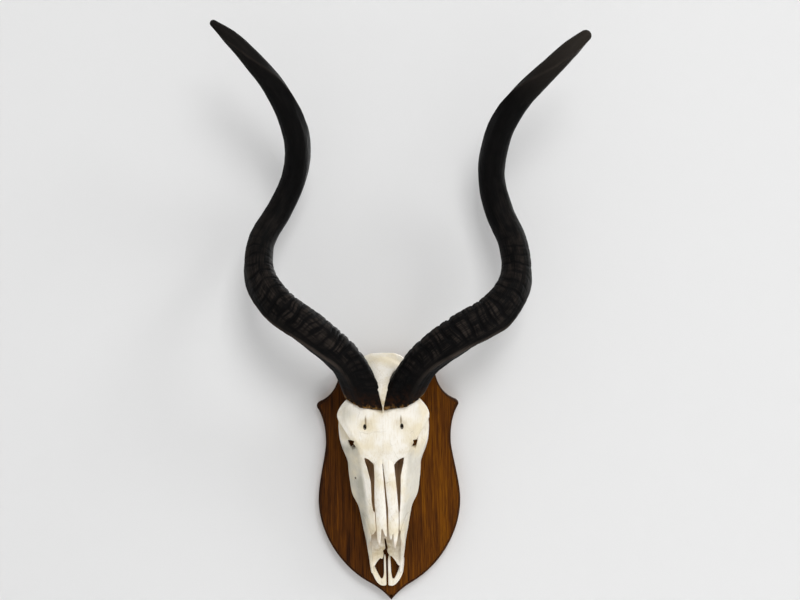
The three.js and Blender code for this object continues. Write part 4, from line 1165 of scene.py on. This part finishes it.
    amount = add("ShaderNodeMath", "MULTIPLY", _0=sided, _1=strength)
    # between the grooves, finer wrinkles less than half as far apart
    finer = add("ShaderNodeMath", "MULTIPLY", _0=phase, _1=2.4)
    finer_part = add("ShaderNodeMath", "PINGPONG", _0=finer, _1=0.5)
    finer_grooves = add("ShaderNodeMapRange", SMOOTH, Value=finer_part, _2=0.3, _3=0.30, _4=0.0)
    cut_in = add("ShaderNodeMath", "MAXIMUM", _0=groove, _1=finer_grooves)
    wrinkle = add("ShaderNodeMath", "MULTIPLY", _0=cut_in, _1=amount)
    sunk = add("ShaderNodeMath", "MULTIPLY", _0=wrinkle, _1=given["Rib Depth"])
    ribbed = add("ShaderNodeMath", "SUBTRACT", _0=radius, _1=sunk)
    # low swellings, and fine flutes that run along the horn
    swell_place = add("ShaderNodeVectorMath", "MULTIPLY", _0=course_point, _1=(1.6, 1.6, 30.0))
    swells = add("ShaderNodeTexNoise", Vector=swell_place, Scale=1.0, Detail=2.0)
    flute_place = add("ShaderNodeVectorMath", "MULTIPLY", _0=course_point, _1=(6.5, 6.5, 5.0))
    flutes = add("ShaderNodeTexNoise", Vector=flute_place, Scale=1.0, Detail=2.0)
    both = add("ShaderNodeMath", "MULTIPLY_ADD", _0=flutes.outputs["Fac"], _1=0.6,
        _2=swells.outputs["Fac"])
    uneven = add("ShaderNodeMath", "MULTIPLY_ADD", _0=both, _1=0.10, _2=0.92)
    full = add("ShaderNodeMath", "MULTIPLY", _0=ribbed, _1=uneven)
    offset = add("ShaderNodeVectorMath", "SCALE", _0=away, Scale=full)
    # near the foot the rings slide along the horn until the first lies on the foot's slope
    rise = add("ShaderNodeVectorMath", "DOT_PRODUCT", _0=offset, _1=given["Foot Slope"])
    steep = add("ShaderNodeVectorMath", "DOT_PRODUCT", _0=at_ring["course"], _1=given["Foot Slope"])
    slide = add("ShaderNodeMath", "DIVIDE", _0=rise.outputs["Value"], _1=steep.outputs["Value"])
    near = add("ShaderNodeMapRange", SMOOTH, Value=at_ring["travel"], _2=0.11, _3=-1.0, _4=0.0)
    slid = add("ShaderNodeMath", "MULTIPLY", _0=slide, _1=near)
    torn_place = add("ShaderNodeVectorMath", "MULTIPLY", _0=course_point, _1=(7.0, 7.0, 0.0))
    torn = add("ShaderNodeTexNoise", Vector=torn_place, Scale=1.0, Detail=4.0)
    at_rim = add("ShaderNodeMapRange", SMOOTH, Value=at_ring["travel"], _2=0.012, _3=0.007, _4=0.0)
    ragged = add("ShaderNodeMath", {"operation": "SUBTRACT", "use_clamp": True},
        _0=torn.outputs["Fac"], _1=0.42)
    along = add("ShaderNodeMath", "MULTIPLY_ADD", _0=ragged, _1=at_rim, _2=slid)
    slid_on = add("ShaderNodeVectorMath", "SCALE", _0=at_ring["course"], Scale=along)
    moved = add("ShaderNodeVectorMath", "ADD", _0=offset, _1=slid_on)
    place = add("ShaderNodeVectorMath", "ADD", _0=middle, _1=moved)
    # what the material needs to know is stored before the sheet is bent round
    skin = sheet
    for label, kind, value in (
            ("travel", "FLOAT", at_ring["travel"]), ("tip_wear", "FLOAT", at_ring["tip_wear"]),
            ("wrinkle", "FLOAT", wrinkle), ("keel", "FLOAT", keel),
            ("upper", "FLOAT", facing),
            ("around", "FLOAT_VECTOR", course_point)):
        skin = add("GeometryNodeStoreNamedAttribute", {"data_type": kind}, Geometry=skin,
            Name=label, Value=value)
    bent = add("GeometryNodeSetPosition", Geometry=skin, Position=place)
    closed = add("GeometryNodeMergeByDistance", Geometry=bent, Distance=0.00003)
    smooth = add("GeometryNodeSetShadeSmooth", Geometry=closed)
    real = add("GeometryNodeRealizeInstances", Geometry=smooth)
    done = add("GeometryNodeSetMaterial", Geometry=real, Material=given["Keratin"])
    add("NodeGroupOutput", _0=done)
    return tree


def black_keratin():
    """Weathered black horn, dry and rubbed satin on its high places. The eye gets near-black with
    fine lines along the horn about 1 mm apart, grey-brown wear on the keel, grey-brown wear and
    painted sheen on the crests of the wrinkles, a brown ragged rim and a greyer tip."""
    material, add = new_material("black kudu horn, dry, rubbed satin")
    place = add("ShaderNodeTexCoord").outputs["Object"]
    travel, tip_wear, wrinkle, keel, upper = [
        add("ShaderNodeAttribute", {"attribute_name": label}).outputs["Fac"]
        for label in ("travel", "tip_wear", "wrinkle", "keel", "upper")]
    around = add("ShaderNodeAttribute", {"attribute_name": "around"}).outputs["Vector"]
    lined = add("ShaderNodeMapping", _0=around, Scale=(26, 26, 14))
    lines = add("ShaderNodeTexNoise", Vector=lined, Scale=1.0, Detail=5.0, Roughness=0.6)
    blotched = add("ShaderNodeMapping", _0=around, Scale=(2.2, 2.2, 34))
    blots = add("ShaderNodeTexNoise", Vector=blotched, Scale=1.0, Detail=5.0)
    shade = add("ShaderNodeMix", {"data_type": "FLOAT"}, _0=0.5, _2=lines.outputs["Fac"],
        _3=blots.outputs["Fac"])
    colour = add("ShaderNodeValToRGB", _0=shade,
        stops=[(0.40, HORN_DARK), (0.56, "#090808"), (0.68, HORN_GREY)])
    ribbed = add("ShaderNodeMapRange", Value=travel, _1=0.22, _2=0.46, _3=0.34, _4=0.05)
    off_foot = add("ShaderNodeMapRange", SMOOTH, Value=travel, _1=0.02, _2=0.13, _3=0.1)
    flat = add("ShaderNodeMapRange", Value=wrinkle, _2=0.22, _3=1.0, _4=0.0)
    # the crests of the wrinkles on the upper face are greyed: rubbed wear and a painted sheen of
    # the light from above
    on_crests = add("ShaderNodeMath", "MULTIPLY", _0=ribbed, _1=flat)
    on_upper = add("ShaderNodeMath", "MULTIPLY", _0=on_crests, _1=upper)
    on_top = add("ShaderNodeMath", "MULTIPLY", _0=on_upper, _1=off_foot)
    rubbed = add("ShaderNodeMapRange", Value=shade, _1=0.45, _2=0.60)
    top_wear_and_sheen = add("ShaderNodeMath", "MULTIPLY", _0=on_top, _1=rubbed)
    keel_worn = add("ShaderNodeMapRange", SMOOTH, Value=travel, _1=0.30, _2=0.55, _3=0.62, _4=0.16)
    on_keel = add("ShaderNodeMapRange", Value=keel, _1=0.62, _2=0.84, _4=keel_worn)
    broken = add("ShaderNodeMapRange", Value=shade, _1=0.36, _2=0.56, _3=0.2)
    keel_line = add("ShaderNodeMath", "MULTIPLY", _0=on_keel, _1=broken)
    keel_wear = add("ShaderNodeMath", "MULTIPLY", _0=keel_line, _1=off_foot)
    wear = add("ShaderNodeMath", "MAXIMUM", _0=top_wear_and_sheen, _1=keel_wear)
    ragged = add("ShaderNodeMath", "MULTIPLY_ADD", _0=blots.outputs["Fac"], _1=-0.070, _2=0.072)
    base = add("ShaderNodeMapRange", Value=travel, _2=ragged, _3=0.9, _4=0.0)
    crumbs = add("ShaderNodeTexNoise", Vector=place, Scale=130.0, Detail=5.0, Roughness=0.65)
    in_places = add("ShaderNodeMapRange", Value=crumbs.outputs["Fac"], _1=0.44, _2=0.62, _3=0.1)
    brown_base = add("ShaderNodeMath", "MULTIPLY", _0=base, _1=in_places)
    torn = add("ShaderNodeMath", "MULTIPLY_ADD", _0=crumbs.outputs["Fac"], _1=0.036, _2=-0.0115)
    thin = add("ShaderNodeMath", "MAXIMUM", _0=torn, _1=0.0012)
    rim = add("ShaderNodeMapRange", Value=travel, _2=thin, _3=0.85, _4=0.0)
    flecked = add("ShaderNodeMapRange", Value=crumbs.outputs["Fac"], _1=0.45, _2=0.60, _3=0.1)
    flecks = add("ShaderNodeMath", "MULTIPLY", _0=rim, _1=flecked)
    # the layers over the black, from the lowest up: how much of each, and its colour
    for amount, code in ((wear, HORN_WORN_AND_SHEEN), (tip_wear, HORN_TIP), (brown_base, HORN_BROWN),
                         (flecks, HORN_RIM)):
        mixed = add("ShaderNodeMix", {"data_type": "RGBA"}, _0=amount, _6=colour, _7=paint(code))
        colour = mixed.outputs[2]
    dull = add("ShaderNodeMapRange", Value=shade, _1=0.35, _2=0.65, _3=0.54, _4=0.74)
    dents = add("ShaderNodeBump", Strength=0.45, Distance=0.0006, Height=lines.outputs["Fac"])
    grit = add("ShaderNodeTexNoise", Vector=place, Scale=420.0, Detail=3.0)
    rough = add("ShaderNodeBump", Strength=0.25, Distance=0.0004, Height=grit.outputs["Fac"],
        Normal=dents)
    surface = add("ShaderNodeBsdfPrincipled", Base_Color=colour, Roughness=dull, IOR=1.54,
        Normal=rough, Specular_IOR_Level=0.05)
    add("ShaderNodeOutputMaterial", Surface=surface)
    return material


keratin = black_keratin()
sheath = horn_sheath()
for side, name, seed, pale_tip in ((-1, "left", 3.0, 0.12), (1, "right", 8.0, 0.5)):
    place, course, front, out, girth, turn, travel, tipward, slope = horn_course(HORNS[name], side)
    horn = bpy.data.objects.new(f"horn_{name}_sheath", bpy.data.meshes.new(f"horn_{name}_sheath"))
    bpy.context.collection.objects.link(horn)
    horn.data.from_pydata(place.tolist(), [(i, i + 1) for i in range(len(place) - 1)], [])
    store(horn.data, "FLOAT_VECTOR", course=course, front=front, out=out)
    store(horn.data, girth=girth, turn=turn, travel=travel, tip_wear=pale_tip * tipward)
    add_maker(horn, sheath, {
        "Rings": len(place), "Sides": HORN_SIDES, "Keel Spread": KEEL_SPREAD, "Corner": CORNER,
        "Rib Pitch": RIB_PITCH, "Rib Depth": RIB_DEPTH, "Ribbed Length": RIBBED_LENGTH,
        "Foot Slope": tuple(slope), "Seed": seed, "Keratin": keratin})
    carry(applied(horn), "horn_keratin", f"horn_{name}")

# ---------------------------------------------------------------- wall, floor, light and camera
# The mount hangs on a plain pale wall above a plain pale floor. Both are matt paint and seen
# from their front only, so that a look from behind shows the back of the mount.


def matt_paint():
    """Pale grey emulsion. The eye gets an even grey with a very faint roller texture. Its back
    is clear, so it never hides the mount."""
    material, add = new_material("pale grey emulsion")
    place = add("ShaderNodeTexCoord").outputs["Object"]
    roller = add("ShaderNodeTexNoise", Vector=place, Scale=500.0, Detail=2.0)
    colour = add("ShaderNodeValToRGB", _0=roller.outputs["Fac"],
        stops=[(0.3, "#e3e3e3"), (0.7, "#e5e5e5")])
    surface = add("ShaderNodeBsdfPrincipled", Base_Color=colour, Roughness=0.9)
    clear = add("ShaderNodeBsdfTransparent")
    behind = add("ShaderNodeNewGeometry")
    shown = add("ShaderNodeMixShader", _0=behind.outputs["Backfacing"], _1=surface, _2=clear)
    add("ShaderNodeOutputMaterial", Surface=shown)
    return material


WALL_Y = 0.01          # the wall stands this far behind the shield, so that its edge casts shadow
FLOOR_Z = -0.95
REACH, CEILING = 6, 4
emulsion = matt_paint()
for name, corners in (
        ("wall", [(-REACH, WALL_Y, FLOOR_Z), (REACH, WALL_Y, FLOOR_Z), (REACH, WALL_Y, CEILING),
                  (-REACH, WALL_Y, CEILING)]),
        ("floor", [(-REACH, -REACH, FLOOR_Z), (REACH, -REACH, FLOOR_Z), (REACH, WALL_Y, FLOOR_Z),
                   (-REACH, WALL_Y, FLOOR_Z)])):
    backdrop = mesh_piece(name, corners, [(0, 1, 2, 3)], emulsion)
    backdrop.visible_shadow = False

LIT = Vector((0, 0, 0.2))    # what every light points at
for name, place, size, power in (("key", (1.2, -6.07, 3.39), 2.4, 172),
                                 ("side", (8.0, -5.0, 6.2), 3.3, 230),
                                 ("rear", (1.4, 2.2, 1.2), 1.8, 90)):
    lamp = bpy.data.lights.new(name, "AREA")
    lamp.size, lamp.energy = size, power
    light = bpy.data.objects.new(name, lamp)
    light.location = place
    light.rotation_euler = (LIT - Vector(place)).to_track_quat("-Z", "Y").to_euler()
    bpy.context.collection.objects.link(light)
world = bpy.data.worlds.new("studio")
world.use_nodes = True
world.node_tree.nodes.clear()
sky = add_node(world.node_tree, "ShaderNodeBackground", Color=paint("#f8f8f8"), Strength=0.55)
add_node(world.node_tree, "ShaderNodeOutputWorld", Surface=sky)
bpy.context.scene.world = world
bpy.context.scene.view_settings.view_transform = "Standard"

camera = bpy.data.objects.new("camera", bpy.data.cameras.new("camera"))
camera.data.lens, camera.data.sensor_width = 70, 36
camera.data.clip_end = 30    # metres
camera.location = (0.0257, -2.792, 0.303)
camera.rotation_euler = (math.pi / 2, math.radians(1.1), 0)
bpy.context.collection.objects.link(camera)
bpy.context.scene.camera = camera
